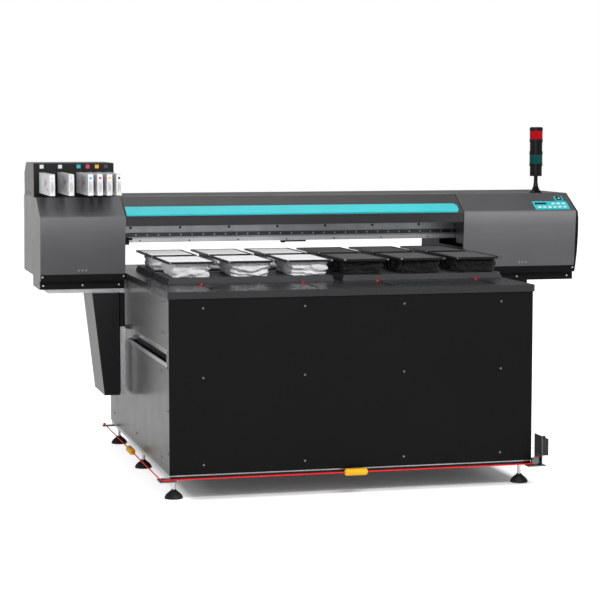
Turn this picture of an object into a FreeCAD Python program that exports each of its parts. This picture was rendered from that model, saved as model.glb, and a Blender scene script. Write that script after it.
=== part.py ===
import FreeCAD
import math
import os
import Part
import Sketcher

# Multi-station flatbed garment printer: a table with two rows of garment platens, and a gantry
# that rides along both sides of the base and carries the print carriage across the table.
# Machine coordinates used below: X from the middle of the base, Y from the front edge of the
# table towards the back, Z from the floor.  base_x and base_y move them to the part's own origin.

doc = FreeCAD.newDocument("flatbed_printer")
sheet = doc.addObject("Spreadsheet::Sheet", "sizes")
nodes = {}


class Size:
    """A dimension that keeps the expression it comes from next to its present value."""

    def __init__(self, text, value):
        self.text = text
        self.value = value

    def __add__(self, other):
        return Size("(%s + %s)" % (self.text, text(other)), self.value + number(other))

    def __radd__(self, other):
        return Size("(%s + %s)" % (text(other), self.text), number(other) + self.value)

    def __sub__(self, other):
        return Size("(%s - %s)" % (self.text, text(other)), self.value - number(other))

    def __rsub__(self, other):
        return Size("(%s - %s)" % (text(other), self.text), number(other) - self.value)

    def __mul__(self, other):
        return Size("(%s * %s)" % (self.text, text(other)), self.value * number(other))

    __rmul__ = __mul__

    def __truediv__(self, other):
        return Size("(%s / %s)" % (self.text, text(other)), self.value / number(other))

    def __neg__(self):
        return Size("(-1 * %s)" % self.text, -self.value)


def number(value):
    return value.value if isinstance(value, Size) else float(value)


def text(value):
    return value.text if isinstance(value, Size) else repr(float(value))


def size(alias, value, note):
    """One row of the sheet: the name, the value and what it is."""
    row = size.row
    size.row = row + 1
    sheet.set("A%d" % row, alias)
    sheet.set("B%d" % row, str(value))
    sheet.set("C%d" % row, note)
    sheet.setAlias("B%d" % row, alias)
    return Size("sizes.%s" % alias, float(value))


size.row = 1
ZERO = Size("0", 0.0)

# ---- overall sizes
base_x = size("base_x", -112.5, "middle of the base, from the part's origin")
base_y = size("base_y", -902.5, "front edge of the table, from the part's origin")
table_width = size("table_width", 1780, "table, side to side")
table_depth = size("table_depth", 1780, "table, front to back")
table_height = size("table_height", 967, "top of the table above the floor")
table_thick = size("table_thick", 33, "table board")
lip = size("lip", 6, "table overhang past the panels")
sheet_thick = size("sheet_thick", 3, "sheet metal of the panels and covers")
panel_bottom = size("panel_bottom", 119, "lower edge of the panels")
frame_bottom = size("frame_bottom", 100, "underside of the frame")
profile = size("profile", 60, "side of the square frame profile")
seam = size("seam", 0.5, "gap between neighbouring covers")
running = size("running", 0.3, "clearance between sliding faces")
shaft_gap = size("shaft_gap", 0.05, "radial clearance of a shaft in its bore")

# ---- slots in the sides, rails and drive
inlet_x = size("inlet_x", -250, "mains inlet, from the middle of the base")
inlet_level = size("inlet_level", 330, "middle of the mains inlet")
inlet_side = size("inlet_side", 60, "mains inlet, side of its square body")
louvre_long = size("louvre_long", 800, "louvre of the back panel, length")
louvre_tall = size("louvre_tall", 12, "louvre of the back panel, height")
louvre_pitch = size("louvre_pitch", 40, "between louvres of the back panel")
louvre_low = size("louvre_low", 430, "lowest louvre, above the panel's lower edge")
knob_r = size("knob_r", 7.5, "red stop on the table, radius of its knob")
slot_bottom = size("slot_bottom", 612, "lower edge of the side slot")
slot_top = size("slot_top", 695, "upper edge of the side slot")
slot_front = size("slot_front", 60, "front end of the side slot")
beam_low = size("beam_low", 613, "underside of the rail beam")
beam_tall = size("beam_tall", 130, "height of the rail beam")
beam_thick = size("beam_thick", 40, "width of the rail beam")
beam_inset = size("beam_inset", 40, "rail beam, in from the panel's inner face")
rail_wide = size("rail_wide", 20, "linear rail, width")
rail_deep = size("rail_deep", 14, "linear rail, height from its seat")
rail_level = size("rail_level", 665, "middle of the linear rail")
tooth_module = size("tooth_module", 3, "rack and pinion module")
pinion_teeth = 16
rack_pitch_level = size("rack_pitch_level", 608, "pitch line of the rack")
rack_thick = size("rack_thick", 12, "rack, side to side")
rack_top = size("rack_top", 628, "upper edge of the rack")
shaft_r = size("shaft_r", 8, "Y drive shaft radius")

# ---- gantry cross-section
gantry_over = size("gantry_over", 69, "gantry at rest, past the back edge of the table")
pod_depth = size("pod_depth", 752, "gantry, front to back")
pod_top = size("pod_top", 1355, "top of the gantry")
slope_run = size("slope_run", 157, "sloped front, front to back")
slope_rise = size("slope_rise", 94, "sloped front, height")
pod_chin = size("pod_chin", 970, "lower edge of the front skin")
chin_back = size("chin_back", 23, "front skin leans back by this much at its lower edge")
strip_low = size("strip_low", 935, "lower edge of the first dark strip")
pod_belly = size("pod_belly", 895, "lowest underside of a pod")
pod_rear_floor = size("pod_rear_floor", 948, "underside at the back of a pod")
belly_depth = size("belly_depth", 280, "deep part of a pod's floor, front to back")
pod_gap_left = size("pod_gap_left", 13, "left pod, out from the table's edge")
pod_gap_right = size("pod_gap_right", 22, "right pod, out from the table's edge")
left_pod_wide = size("left_pod_wide", 435, "left pod, side to side")
right_pod_wide = size("right_pod_wide", 634, "right pod without its end cap")
cap_wide = size("cap_wide", 11, "end cap of the right pod at its edges")
cap_bulge = size("cap_bulge", 6, "swell of the end cap")
end_plate = size("end_plate", 8, "inner end plate of a pod")

# ---- arms
arm_bottom = size("arm_bottom", 345, "lower end of an arm")
arm_back = size("arm_back", 27, "arm box, behind the gantry's front corner")
arm_depth = size("arm_depth", 346, "arm box, front to back")
arm_in = size("arm_in", 45, "arm box, out from the table's edge")
arm_wide_top = size("arm_wide_top", 139, "arm box at its top")
arm_wide_bottom = size("arm_wide_bottom", 79, "arm box at its lower end")
post_gap = size("post_gap", 15, "arm post, out from the table's edge")
post_thick = size("post_thick", 25, "arm post, side to side")
post_back = size("post_back", 33, "arm post, behind the gantry's front corner")
post_depth = size("post_depth", 160, "arm post, front to back")
foot_beam_tall = size("foot_beam_tall", 20, "beam between a pod and its arm")
bracket_reach = size("bracket_reach", 58, "arm bracket, in front of its post")

# ---- carriage and its beam
beam_back = size("beam_back", 303, "carriage beam, behind the gantry's front corner")
beam_deep = size("beam_deep", 120, "carriage beam, front to back")
beam_z = size("beam_z", 1110, "underside of the carriage beam")
beam_high = size("beam_high", 140, "carriage beam, height")
beam_wall = size("beam_wall", 6, "wall of the carriage beam")
x_rail_level = size("x_rail_level", 1150, "middle of the carriage rail")
groove_tall = size("groove_tall", 6, "groove along the carriage beam, height")
groove_deep = size("groove_deep", 3, "groove along the carriage beam, depth")
groove_up = size("groove_up", 48, "upper groove of the beam, above the rail's middle")
groove_down = size("groove_down", 20, "lower groove of the beam, below the rail's middle")
carriage_travel = size("carriage_travel", 1840, "travel of the carriage to the left")
bearing_in = size("bearing_in", 60, "rail bearing, in from the carriage's side")
bearing_tall = size("bearing_tall", 60, "rail bearing, height")
stop_long = size("stop_long", 40, "end stop of the carriage, along the beam")
buffer_long = size("buffer_long", 18, "rubber buffer of an end stop, length")
buffer_r = size("buffer_r", 6, "rubber buffer of an end stop, radius")
buffer_gap = size("buffer_gap", 2, "between a buffer and the bearing at the end of its travel")
sensor_x = size("sensor_x", -17, "sensor bar, from the middle of the base")
sensor_long = size("sensor_long", 138, "sensor bar, length")
carriage_park = size("carriage_park", 48, "parked carriage, out from the right pod's inner end")
carriage_wide = size("carriage_wide", 370, "carriage, side to side")
carriage_back = size("carriage_back", 39, "carriage, behind the gantry's front corner")
carriage_bottom = size("carriage_bottom", 1085, "underside of the carriage shell")
carriage_top = size("carriage_top", 1250, "top of the carriage shell")
head_drop = size("head_drop", 8, "print heads below the shell")
head_count = 4
pulley_r = size("pulley_r", 20, "belt pulley radius")
belt_thick = size("belt_thick", 2, "belt thickness")
belt_wide = size("belt_wide", 10, "belt width")
pin_r = size("pin_r", 5, "pulley pin radius")

# ---- pallets and platens
pallet_in = size("pallet_in", 84, "left pallet, in from the left edge of the table")
pallet_wide = size("pallet_wide", 820, "pallet, side to side")
pallet_gap = size("pallet_gap", 46, "between the left and the right pallet")
pallet_front = size("pallet_front", 437, "front of the front row")
pallet_deep = size("pallet_deep", 430, "pallet, front to back")
row_gap = size("row_gap", 73, "between the front and the rear row")
board_low = size("board_low", 13, "lower pallet board")
board_high = size("board_high", 14, "upper pallet board")
platen_wide = size("platen_wide", 240, "platen, side to side")
bundle_tall = size("bundle_tall", 68, "height of a folded garment under its platen")
hoop_tall = size("hoop_tall", 10, "hoop frame, height")
hoop_rim = size("hoop_rim", 11, "hoop frame, width of its rim")

# ---- ink rack
rack_in = size("rack_in", 2, "ink rack, in from the left pod's outer side")
rack_wide = size("rack_wide", 416, "ink rack, side to side")
rack_back = size("rack_back", 273, "ink rack, behind the gantry's front corner")
rack_deep = size("rack_deep", 430, "ink rack, front to back")
rack_head = size("rack_head", 46, "ink rack above its cartridges")
rack_slope_run = size("rack_slope_run", 85, "ink rack, sloped back, front to back")
rack_slope_rise = size("rack_slope_rise", 58, "ink rack, sloped back, height")
tag_wide = size("tag_wide", 20, "name tag on the ink rack, side to side")
tag_tall = size("tag_tall", 19, "name tag on the ink rack, height")
tag_thick = size("tag_thick", 1.5, "name tag on the ink rack, thickness")
cartridge_wide = size("cartridge_wide", 27, "cartridge, side to side")
cartridge_tall = size("cartridge_tall", 107, "cartridge, height")
cartridge_out = size("cartridge_out", 440, "cartridge in front of the rack")
cartridge_in = size("cartridge_in", 180, "cartridge inside the rack")
cartridge_lift = size("cartridge_lift", 20, "underside of a cartridge above the pod")

# ---- signal tower, feet and rope
tower_out = size("tower_out", 488, "signal tower, out from the right pod's inner end")
tower_back = size("tower_back", 228, "signal tower, behind the gantry's front corner")
tower_r = size("tower_r", 35, "signal tower radius")
tower_stem = size("tower_stem", 91, "signal tower, foot and stem, height")
tower_can = size("tower_can", 55, "signal tower, black can above the stem, height")
lens_tall = size("lens_tall", 49, "signal tower, height of a lens")
red_tall = size("red_tall", 46, "signal tower, height of the red lens")
ring_tall = size("ring_tall", 17, "signal tower, height of a black ring")
lid_tall = size("lid_tall", 20, "signal tower, height of its lid")
pad_r = size("pad_r", 42.5, "foot pad radius")
rope_r = size("rope_r", 3, "safety rope radius")
rope_side = size("rope_side", 0.5, "between the rope and each side of a pulley's groove")
rope_level = size("rope_level", 106, "height of the safety rope")
rope_left = size("rope_left", 40, "rope, out from the left table edge")
rope_front = size("rope_front", 30, "rope, in front of the table")
rope_turn = size("rope_turn", 14.8, "radius of the rope's turns")
wheel_r = size("wheel_r", 18, "rope pulley radius")
wheel_thick = size("wheel_thick", 10, "rope pulley thickness")
wheel_pin_r = size("wheel_pin_r", 3, "rope pulley pin radius")

# ---- sizes worked out from the ones above
half = table_width / 2
panel_out = half - lip
panel_in = panel_out - sheet_thick
frame_front = lip + sheet_thick
frame_rear = table_depth - lip - sheet_thick
table_under = table_height - table_thick
middle_y = table_depth * 0.675
left_pod_in = -half - pod_gap_left
left_pod_out = left_pod_in - left_pod_wide
right_pod_in = half + pod_gap_right
right_pod_out = right_pod_in + right_pod_wide
gantry_rear = table_depth + gantry_over
gantry_y = gantry_rear - pod_depth
arm_front = gantry_y + arm_back
post_front = gantry_y + post_back
beam_y = gantry_y + beam_back
carriage_front = gantry_y + carriage_back
carriage_x = right_pod_in + carriage_park
rack_left = left_pod_out + rack_in
rack_front = gantry_y + rack_back
cartridge_low = pod_top + cartridge_lift
tower_x = right_pod_in + tower_out
tower_y = gantry_y + tower_back
pallet_x = pallet_in - half
rail_beam_out = panel_in - beam_inset
# how far a sheet's inner corner moves along the flat when the outer corner is offset square to it
SLOPE_LEAN = 0.28
slope_angle = math.atan(number(slope_rise) / number(slope_run))


# ---- building blocks
def bind(item, path, value):
    item.setExpression(path, text(value))


def move(item, x, y, z):
    bind(item, "Placement.Base.x", base_x + x)
    bind(item, "Placement.Base.y", base_y + y)
    bind(item, "Placement.Base.z", ZERO + z)


def fresh(kind, label):
    item = doc.addObject(kind, label)
    item.Label = label
    return item


def box(label, x, y, z):
    """A block between two values along each axis."""
    item = fresh("Part::Box", label)
    bind(item, "Length", x[1] - x[0])
    bind(item, "Width", y[1] - y[0])
    bind(item, "Height", z[1] - z[0])
    move(item, x[0], y[0], z[0])
    return item


TURN = {
    "X": FreeCAD.Rotation(FreeCAD.Vector(0, 1, 0), 90),
    "Y": FreeCAD.Rotation(FreeCAD.Vector(1, 0, 0), -90),
    "Z": FreeCAD.Rotation(),
}


def rod(label, axis, x, y, z, radius, length):
    """A cylinder that starts at a point and runs along X, Y or Z."""
    item = fresh("Part::Cylinder", label)
    bind(item, "Radius", radius)
    bind(item, "Height", length)
    item.Placement = FreeCAD.Placement(FreeCAD.Vector(), TURN[axis])
    move(item, x, y, z)
    return item


def cut(label, body, tools):
    """A solid less every tool; the tools don't overlap each other."""
    item = fresh("Part::Cut", label)
    item.Base = body
    item.Tool = tools[0] if len(tools) == 1 else group(label + "_tools", tools)
    return item


def common(label, first, second):
    item = fresh("Part::Common", label)
    item.Base = first
    item.Tool = second
    return item


def fuse(label, pieces):
    item = fresh("Part::MultiFuse", label)
    item.Shapes = pieces
    return item


def group(label, pieces):
    item = fresh("Part::Compound", label)
    item.Links = pieces
    return item


PLANE_TURN = {
    "XY": FreeCAD.Rotation(),
    "XZ": FreeCAD.Rotation(FreeCAD.Vector(1, 0, 0), 90),
    "YZ": FreeCAD.Rotation(0.5, 0.5, 0.5, 0.5),
}


def draw(sketch, points):
    """A closed polygon whose corners are held by named, bound dimensions."""
    count = len(points)
    corners = [FreeCAD.Vector(number(u), number(v), 0) for u, v in points]
    for index in range(count):
        sketch.addGeometry(Part.LineSegment(corners[index], corners[(index + 1) % count]), False)
    for index in range(count):
        sketch.addConstraint(Sketcher.Constraint("Coincident", index, 2, (index + 1) % count, 1))
    for index, (u, v) in enumerate(points):
        for kind, value in (("DistanceX", u), ("DistanceY", v)):
            place = sketch.addConstraint(Sketcher.Constraint(kind, -1, 1, index, 1, number(value)))
            name = "%s_%d" % (kind[-1], index)
            sketch.renameConstraint(place, name)
            sketch.setExpression(".Constraints.%s" % name, text(value))


def outline(label, plane, points, x, y, z):
    """A free sketch in a plane through a point; its own axes are that plane's axes."""
    sketch = fresh("Sketcher::SketchObject", label)
    sketch.Placement = FreeCAD.Placement(FreeCAD.Vector(), PLANE_TURN[plane])
    draw(sketch, points)
    move(sketch, x, y, z)
    return sketch


def extrude(label, sketch, length):
    item = fresh("Part::Extrusion", label)
    item.Base = sketch
    item.DirMode = "Normal"
    item.Solid = True
    bind(item, "LengthFwd", length)
    return item


def origin_plane(body, role):
    return [item for item in body.Origin.OriginFeatures if item.Role == role][0]


def body_sketch(body, label, role, points):
    sketch = body.newObject("Sketcher::SketchObject", label)
    sketch.AttachmentSupport = [(origin_plane(body, role), "")]
    sketch.MapMode = "FlatFace"
    draw(sketch, points)
    return sketch


def padded(label, role, points, length, x, y, z):
    """A PartDesign body: one outline on an origin plane, padded by a bound length."""
    body = fresh("PartDesign::Body", label)
    sketch = body_sketch(body, label + "_outline", role, points)
    pad = body.newObject("PartDesign::Pad", label + "_pad")
    pad.Profile = sketch
    bind(pad, "Length", length)
    sketch.Visibility = False
    body.Tip = pad
    move(body, x, y, z)
    return body


def turned(label, points, x, y, z):
    """A PartDesign body turned about a vertical axis from its half outline (radius, height)."""
    body = fresh("PartDesign::Body", label)
    sketch = body_sketch(body, label + "_outline", "XZ_Plane", points)
    turn = body.newObject("PartDesign::Revolution", label + "_turn")
    turn.Profile = sketch
    turn.ReferenceAxis = (sketch, ["V_Axis"])
    turn.Angle = 360
    body.Tip = turn
    move(body, x, y, z)
    return body


def keep(label, item):
    """Names the object that is written out as a node."""
    item.Label = label
    nodes[label] = item
    return item


# ---- frame of the base
def build_frame():
    posts = []
    for side, x in (("left", -panel_in), ("right", panel_in - profile)):
        for end, y in (("front", frame_front), ("rear", frame_rear - profile)):
            posts.append(box("post_%s_%s" % (side, end), (x, x + profile), (y, y + profile),
                             (frame_bottom, table_under)))
    keep("frame_posts", group("posts", posts))

    rails = []
    inner = panel_in - profile
    for level, z in (("low", frame_bottom), ("high", table_under - profile)):
        for name, y in (("front", frame_front), ("middle", middle_y),
                        ("rear", frame_rear - profile)):
            rails.append(box("cross_%s_%s" % (name, level), (-inner, inner), (y, y + profile),
                             (z, z + profile)))
        for name, x in (("left", -panel_in), ("right", inner)):
            rails.append(box("long_%s_%s" % (name, level), (x, x + profile),
                             (frame_front + profile, frame_rear - profile), (z, z + profile)))
    for name, x in (("left", -rail_beam_out), ("right", rail_beam_out - beam_thick)):
        rails.append(box("rail_beam_%s" % name, (x, x + beam_thick),
                         (frame_front + profile, frame_rear - profile),
                         (beam_low, beam_low + beam_tall)))
    keep("frame_rails", group("rails", rails))


# ---- screws: a low head on the surface and a shank in its hole
screws = []
HEAD_R = size("head_r", 5, "panel screw head radius")
HEAD_TALL = size("head_tall", 2.5, "panel screw head height")
SHANK_R = size("shank_r", 2.5, "panel screw shank radius")


def screw(label, axis, x, y, z, outward):
    """A screw through a panel's outer face; outward is +1 or -1 along its axis."""
    if axis == "Y":
        head = rod(label + "_head", "Y", x, y - HEAD_TALL if outward < 0 else y, z, HEAD_R, HEAD_TALL)
        shank = rod(label + "_shank", "Y", x, y if outward < 0 else y - sheet_thick, z,
                    SHANK_R, sheet_thick)
        hole = rod(label + "_hole", "Y", x, y - 5, z, SHANK_R + shaft_gap, 10)
    else:
        head = rod(label + "_head", "X", x - HEAD_TALL if outward < 0 else x, y, z, HEAD_R, HEAD_TALL)
        shank = rod(label + "_shank", "X", x if outward < 0 else x - sheet_thick, y, z,
                    SHANK_R, sheet_thick)
        hole = rod(label + "_hole", "X", x - 5, y, z, SHANK_R + shaft_gap, 10)
    screws.append(fuse(label, [head, shank]))
    return hole


def build_panels():
    wide = (-panel_out, panel_out)
    tall = (panel_bottom, table_under)
    holes = []
    for column in range(4):
        x = (column * 2 - 3) * table_width * 0.1355
        for row, z in enumerate((panel_bottom + 44, panel_bottom + 449, table_under - 44)):
            holes.append(screw("front_screw_%d_%d" % (column, row), "Y", x, lip, z, -1))
    plate = box("front_plate", wide, (lip, lip + sheet_thick), tall)
    keep("front_panel", cut("front_sheet", plate, holes))

    # the back panel, with the mains inlet's opening and a row of louvres
    through = (frame_rear - 5, frame_rear + 10)
    room = inlet_side / 2 + 1
    louvres = [box("inlet_hole", (inlet_x - room, inlet_x + room), through,
                   (inlet_level - room, inlet_level + room))]
    for row in range(6):
        z = panel_bottom + louvre_low + row * louvre_pitch
        louvres.append(box("louvre_%d" % row, (-louvre_long / 2, louvre_long / 2), through,
                           (z, z + louvre_tall)))
    plate = box("rear_plate", wide, (frame_rear, frame_rear + sheet_thick), tall)
    keep("rear_panel", cut("rear_sheet", plate, louvres))

    sides = []
    for side, sign in (("left", -1), ("right", 1)):
        outer = panel_out * sign
        x = (-panel_out, -panel_in) if sign < 0 else (panel_in, panel_out)
        strip = box(side + "_strip", x, (frame_front, slot_front), tall)
        back = frame_rear
        start = slot_front + seam
        upper_holes = []
        lower_holes = []
        upper_places = ((start + 55, table_under - 23), (start + 114, table_under - 23),
                        (start + 59, slot_top + 73), (start + 116, slot_top + 73))
        low = panel_bottom + 58
        lower_places = ((start + 144, slot_bottom - 27), (table_depth / 2 + 12, slot_bottom - 50),
                        (back - 135, slot_bottom - 50), (start + 144, low), (table_depth / 2 + 31, low),
                        (back - 135, low))
        for number_of, (y, z) in enumerate(upper_places):
            upper_holes.append(screw("%s_upper_screw_%d" % (side, number_of), "X", outer, y, z, sign))
        for number_of, (y, z) in enumerate(lower_places):
            lower_holes.append(screw("%s_lower_screw_%d" % (side, number_of), "X", outer, y, z, sign))
        strip_holes = [screw("%s_strip_screw_%d" % (side, row), "X", outer, slot_front - 22,
                             panel_bottom + 96 + row * 200, sign)
                       for row in range(3)]
        upper = cut(side + "_upper", box(side + "_upper_plate", x, (start, back),
                                         (slot_top, table_under)), upper_holes)
        lower = cut(side + "_lower", box(side + "_lower_plate", x, (start, back),
                                         (panel_bottom, slot_bottom)), lower_holes)
        front = cut(side + "_front_strip", strip, strip_holes)
        sides += [upper, lower, front]
    keep("side_panels", group("side_set", sides))
    keep("panel_screws", group("screws", screws))


# ---- table with its four grooves and their red stops; the grooves are measured from the left pallet
GROOVES = (146, 649, 1023, 1528)


def build_table():
    board = box("table_board", (-half, half), (ZERO, table_depth),
                (table_under, table_height))
    grooves = []
    stops = []
    for index, place in enumerate(GROOVES):
        x = pallet_x + place
        grooves.append(box("groove_%d" % index, (x - 6, x + 6),
                           (ZERO + 90, table_depth - 390), (table_height - 6, table_height + 5)))
        stem = box("stop_stem_%d" % index, (x - 5.7, x + 5.7),
                   (pallet_front - 74, pallet_front - 50), (table_height - 5.7, table_height))
        knob = rod("stop_knob_%d" % index, "Z", x, pallet_front - 62, table_height, knob_r, 6)
        stops.append(fuse("stop_%d" % index, [stem, knob]))
    keep("table_top", cut("grooved_board", board, grooves))
    keep("groove_stops", group("stops", stops))


def build_feet():
    pads = []
    stems = []
    x_place = panel_in - profile / 2
    for side, x in (("left", -x_place), ("right", x_place)):
        for end, y in (("front", frame_front + 74), ("middle", table_depth * 0.516),
                       ("rear", frame_rear - 73)):
            name = "foot_%s_%s" % (side, end)
            rim = ZERO + 7
            pads.append(turned(name, ((0, 0), (pad_r, 0), (pad_r, rim), (pad_r * 0.86, rim + 11),
                                      (pad_r * 0.55, rim + 23), (pad_r * 0.33, rim + 30),
                                      (pad_r * 0.3, rim + 34),
                                      (0, rim + 34)), x, y, ZERO))
            stem = rod(name + "_stem", "Z", x, y, rim + 34, 8, frame_bottom - rim - 34)
            nut = fresh("Part::Prism", name + "_nut")
            nut.Polygon = 6
            bind(nut, "Circumradius", ZERO + 15)
            bind(nut, "Height", ZERO + 12)
            move(nut, x, y, frame_bottom - 12)
            stems.append(fuse(name + "_screw", [stem, nut]))
    keep("foot_pads", group("pads", pads))
    keep("foot_screws", group("stems", stems))


# ---- linear rails, racks and the shaft that drives both sides
def rack_shape(start, end, x0, x1):
    """A straight rack, teeth down, between two Y values; its teeth are thinner than their gaps."""
    module = number(tooth_module)
    pitch = math.pi * module
    level = number(rack_pitch_level)
    top = number(rack_top)
    root = level + 1.25 * module
    tip = level - module
    count = int((end - start) / pitch) - 1
    first = start + pitch / 2
    # a space lies over the shaft's middle, so the pinion's tooth points into it at rest
    first += (shaft_y - first) % pitch - pitch / 2
    points = [(start, top), (start, root)]
    for index in range(count):
        middle = first + index * pitch
        if middle - pitch / 2 < start or middle + pitch / 2 > end:
            continue
        points.append((middle - 0.34 * pitch, root))
        points.append((middle - 0.11 * pitch, tip))
        points.append((middle + 0.11 * pitch, tip))
        points.append((middle + 0.34 * pitch, root))
    points.append((end, root))
    points.append((end, top))
    wire = Part.makePolygon([FreeCAD.Vector(x0, y, z) for y, z in points + points[:1]])
    return Part.Face(wire).extrude(FreeCAD.Vector(x1 - x0, 0, 0))


def pinion_shape(x0, x1, centre):
    """A spur pinion about the shaft's axis with one tooth straight up."""
    module = number(tooth_module)
    radius = module * pinion_teeth / 2
    step = 2 * math.pi / pinion_teeth
    points = []
    for index in range(pinion_teeth):
        middle = index * step
        for angle, distance in ((-0.30, radius - 1.25 * module), (-0.19, radius),
                                (-0.09, radius + module), (0.09, radius + module),
                                (0.19, radius), (0.30, radius - 1.25 * module)):
            turn = middle + angle * step
            points.append((shaft_y + distance * math.sin(turn), centre + distance * math.cos(turn)))
    wire = Part.makePolygon([FreeCAD.Vector(x0, y, z) for y, z in points + points[:1]])
    return Part.Face(wire).extrude(FreeCAD.Vector(x1 - x0, 0, 0))


shaft_y = number(post_front) + 50.0


def made(label, shape):
    """A feature whose shape Part's functions give, in machine coordinates."""
    item = fresh("Part::Feature", label)
    item.Shape = shape
    move(item, ZERO, ZERO, ZERO)
    return item


def build_y_drive():
    rails = []
    start = frame_front + profile + 6
    end = frame_rear - profile - 6
    for side, sign in (("left", -1), ("right", 1)):
        near = rail_beam_out
        far = rail_beam_out + rail_deep
        x = (-far, -near) if sign < 0 else (near, far)
        rails.append(box("rail_" + side, x, (start, end),
                         (rail_level - rail_wide / 2, rail_level + rail_wide / 2)))
        edge = number(rail_beam_out)
        thick = number(rack_thick)
        x0 = -edge - thick if sign < 0 else edge
        rails.append(made("rack_" + side, rack_shape(number(start), number(end), x0, x0 + thick)))
    keep("y_rails", group("side_rails", rails))

    centre = number(rack_pitch_level) - number(tooth_module) * pinion_teeth / 2
    edge = number(rail_beam_out)
    thick = number(rack_thick)
    reach = number(panel_in) - 11
    bar = Part.makeCylinder(number(shaft_r), 2 * reach, FreeCAD.Vector(-reach, shaft_y, centre),
                            FreeCAD.Vector(1, 0, 0))
    shape = bar.fuse([pinion_shape(-edge - thick - 1, -edge - 1, centre),
                      pinion_shape(edge + 1, edge + thick + 1, centre)])
    keep("y_drive_shaft", made("drive_shaft", shape))


# ---- arms: posts and brackets through the side slots, and their sheet metal boxes
def build_arms():
    metal = []
    boxes = []
    shaft_z = rack_pitch_level - tooth_module * pinion_teeth / 2
    for side, sign in (("left", -1), ("right", 1)):

        def span(near, far):
            return (-far, -near) if sign < 0 else (near, far)

        name = "arm_" + side
        post_in = half + post_gap
        post = span(post_in, post_in + post_thick)
        under_pod = pod_belly - sheet_thick
        beam_under = under_pod - foot_beam_tall
        metal.append(box(name + "_post", post, (post_front, post_front + post_depth),
                         (arm_bottom, beam_under)))
        reach = half + pod_gap_left + left_pod_wide - 45
        metal.append(box(name + "_foot_beam", span(post_in, reach),
                         (post_front + 30, post_front + 270), (beam_under, under_pod)))
        block_out = panel_in - 6
        bracket = box(name + "_bracket", span(block_out, post_in),
                      (post_front - bracket_reach, post_front + 164), (rail_level - 22, rail_level + 25))
        channel_out = rail_beam_out + rail_deep + running
        block = box(name + "_block", span(rail_beam_out + 3, block_out),
                    (post_front - 20, post_front + 120), (rail_level - 33, rail_level + 25))
        channel = box(name + "_channel", span(rail_beam_out, channel_out),
                      (post_front - 30, post_front + 130),
                      (rail_level - rail_wide / 2 - running, rail_level + rail_wide / 2 + running))
        metal.append(bracket)
        metal.append(cut(name + "_bearing", block, [channel]))
        plate = box(name + "_carrier", span(block_out - 10, block_out),
                    (ZERO + shaft_y - 30, ZERO + shaft_y + 30),
                    (shaft_z - 95, rail_level - 33))
        bore = rod(name + "_bore", "X", span(block_out - 12, block_out + 2)[0],
                   ZERO + shaft_y, shaft_z, shaft_r + shaft_gap, 14)
        metal.append(cut(name + "_carrier_plate", plate, [bore]))

        # the box is a trapezium in front view, open towards the post
        near = half + arm_in
        top = under_pod - foot_beam_tall
        signed = ZERO + sign
        outer = outline(name + "_front", "XZ", (
            (signed * near, arm_bottom), (signed * (near + arm_wide_bottom), arm_bottom),
            (signed * (near + arm_wide_top), top), (signed * near, top)),
            ZERO, arm_front + arm_depth, ZERO)
        inner = outline(name + "_hollow", "XZ", (
            (signed * (near - 1), arm_bottom + sheet_thick),
            (signed * (near + arm_wide_bottom - sheet_thick), arm_bottom + sheet_thick),
            (signed * (near + arm_wide_top - sheet_thick), top - sheet_thick),
            (signed * (near - 1), top - sheet_thick)),
            ZERO, arm_front + arm_depth - sheet_thick, ZERO)
        solid = extrude(name + "_solid", outer, arm_depth)
        space = extrude(name + "_space", inner, arm_depth - sheet_thick * 2)
        boxes.append(cut(name + "_box", solid, [space]))
    keep("arm_brackets", group("arm_metal", metal))
    keep("arm_boxes", group("arm_covers", boxes))


# ---- pods: one closed section, cut into skin, cover and floor
def pod_section(inset):
    """The pod's outline in Y and Z, moved in by a sheet's thickness."""
    y = ZERO + inset
    deep_front = gantry_y + chin_back + 30
    deep_rear = gantry_y + chin_back + 30 + belly_depth
    slope_in = inset * SLOPE_LEAN
    return (
        (gantry_y + y, pod_top - slope_rise - slope_in),
        (gantry_y + chin_back + y, pod_chin),
        (gantry_y + chin_back + y, strip_low + y),
        (deep_front + y, strip_low + y),
        (deep_front + y, pod_belly - sheet_thick + y),
        (deep_rear - y, pod_belly - sheet_thick + y),
        (deep_rear - y, pod_rear_floor + y),
        (gantry_rear - y, pod_rear_floor + y),
        (gantry_rear - 37 - y, pod_top - y),
        (gantry_y + slope_run + slope_in, pod_top - y),
    )


def pod_tube(label, x, length):
    outer = extrude(label + "_outer", outline(label + "_outer_line", "YZ", pod_section(0), x,
                                              ZERO, ZERO), length)
    inner = extrude(label + "_inner", outline(label + "_inner_line", "YZ", pod_section(sheet_thick),
                                              x - 1, ZERO, ZERO), length + 2)
    return cut(label + "_tube", outer, [inner])


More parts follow.
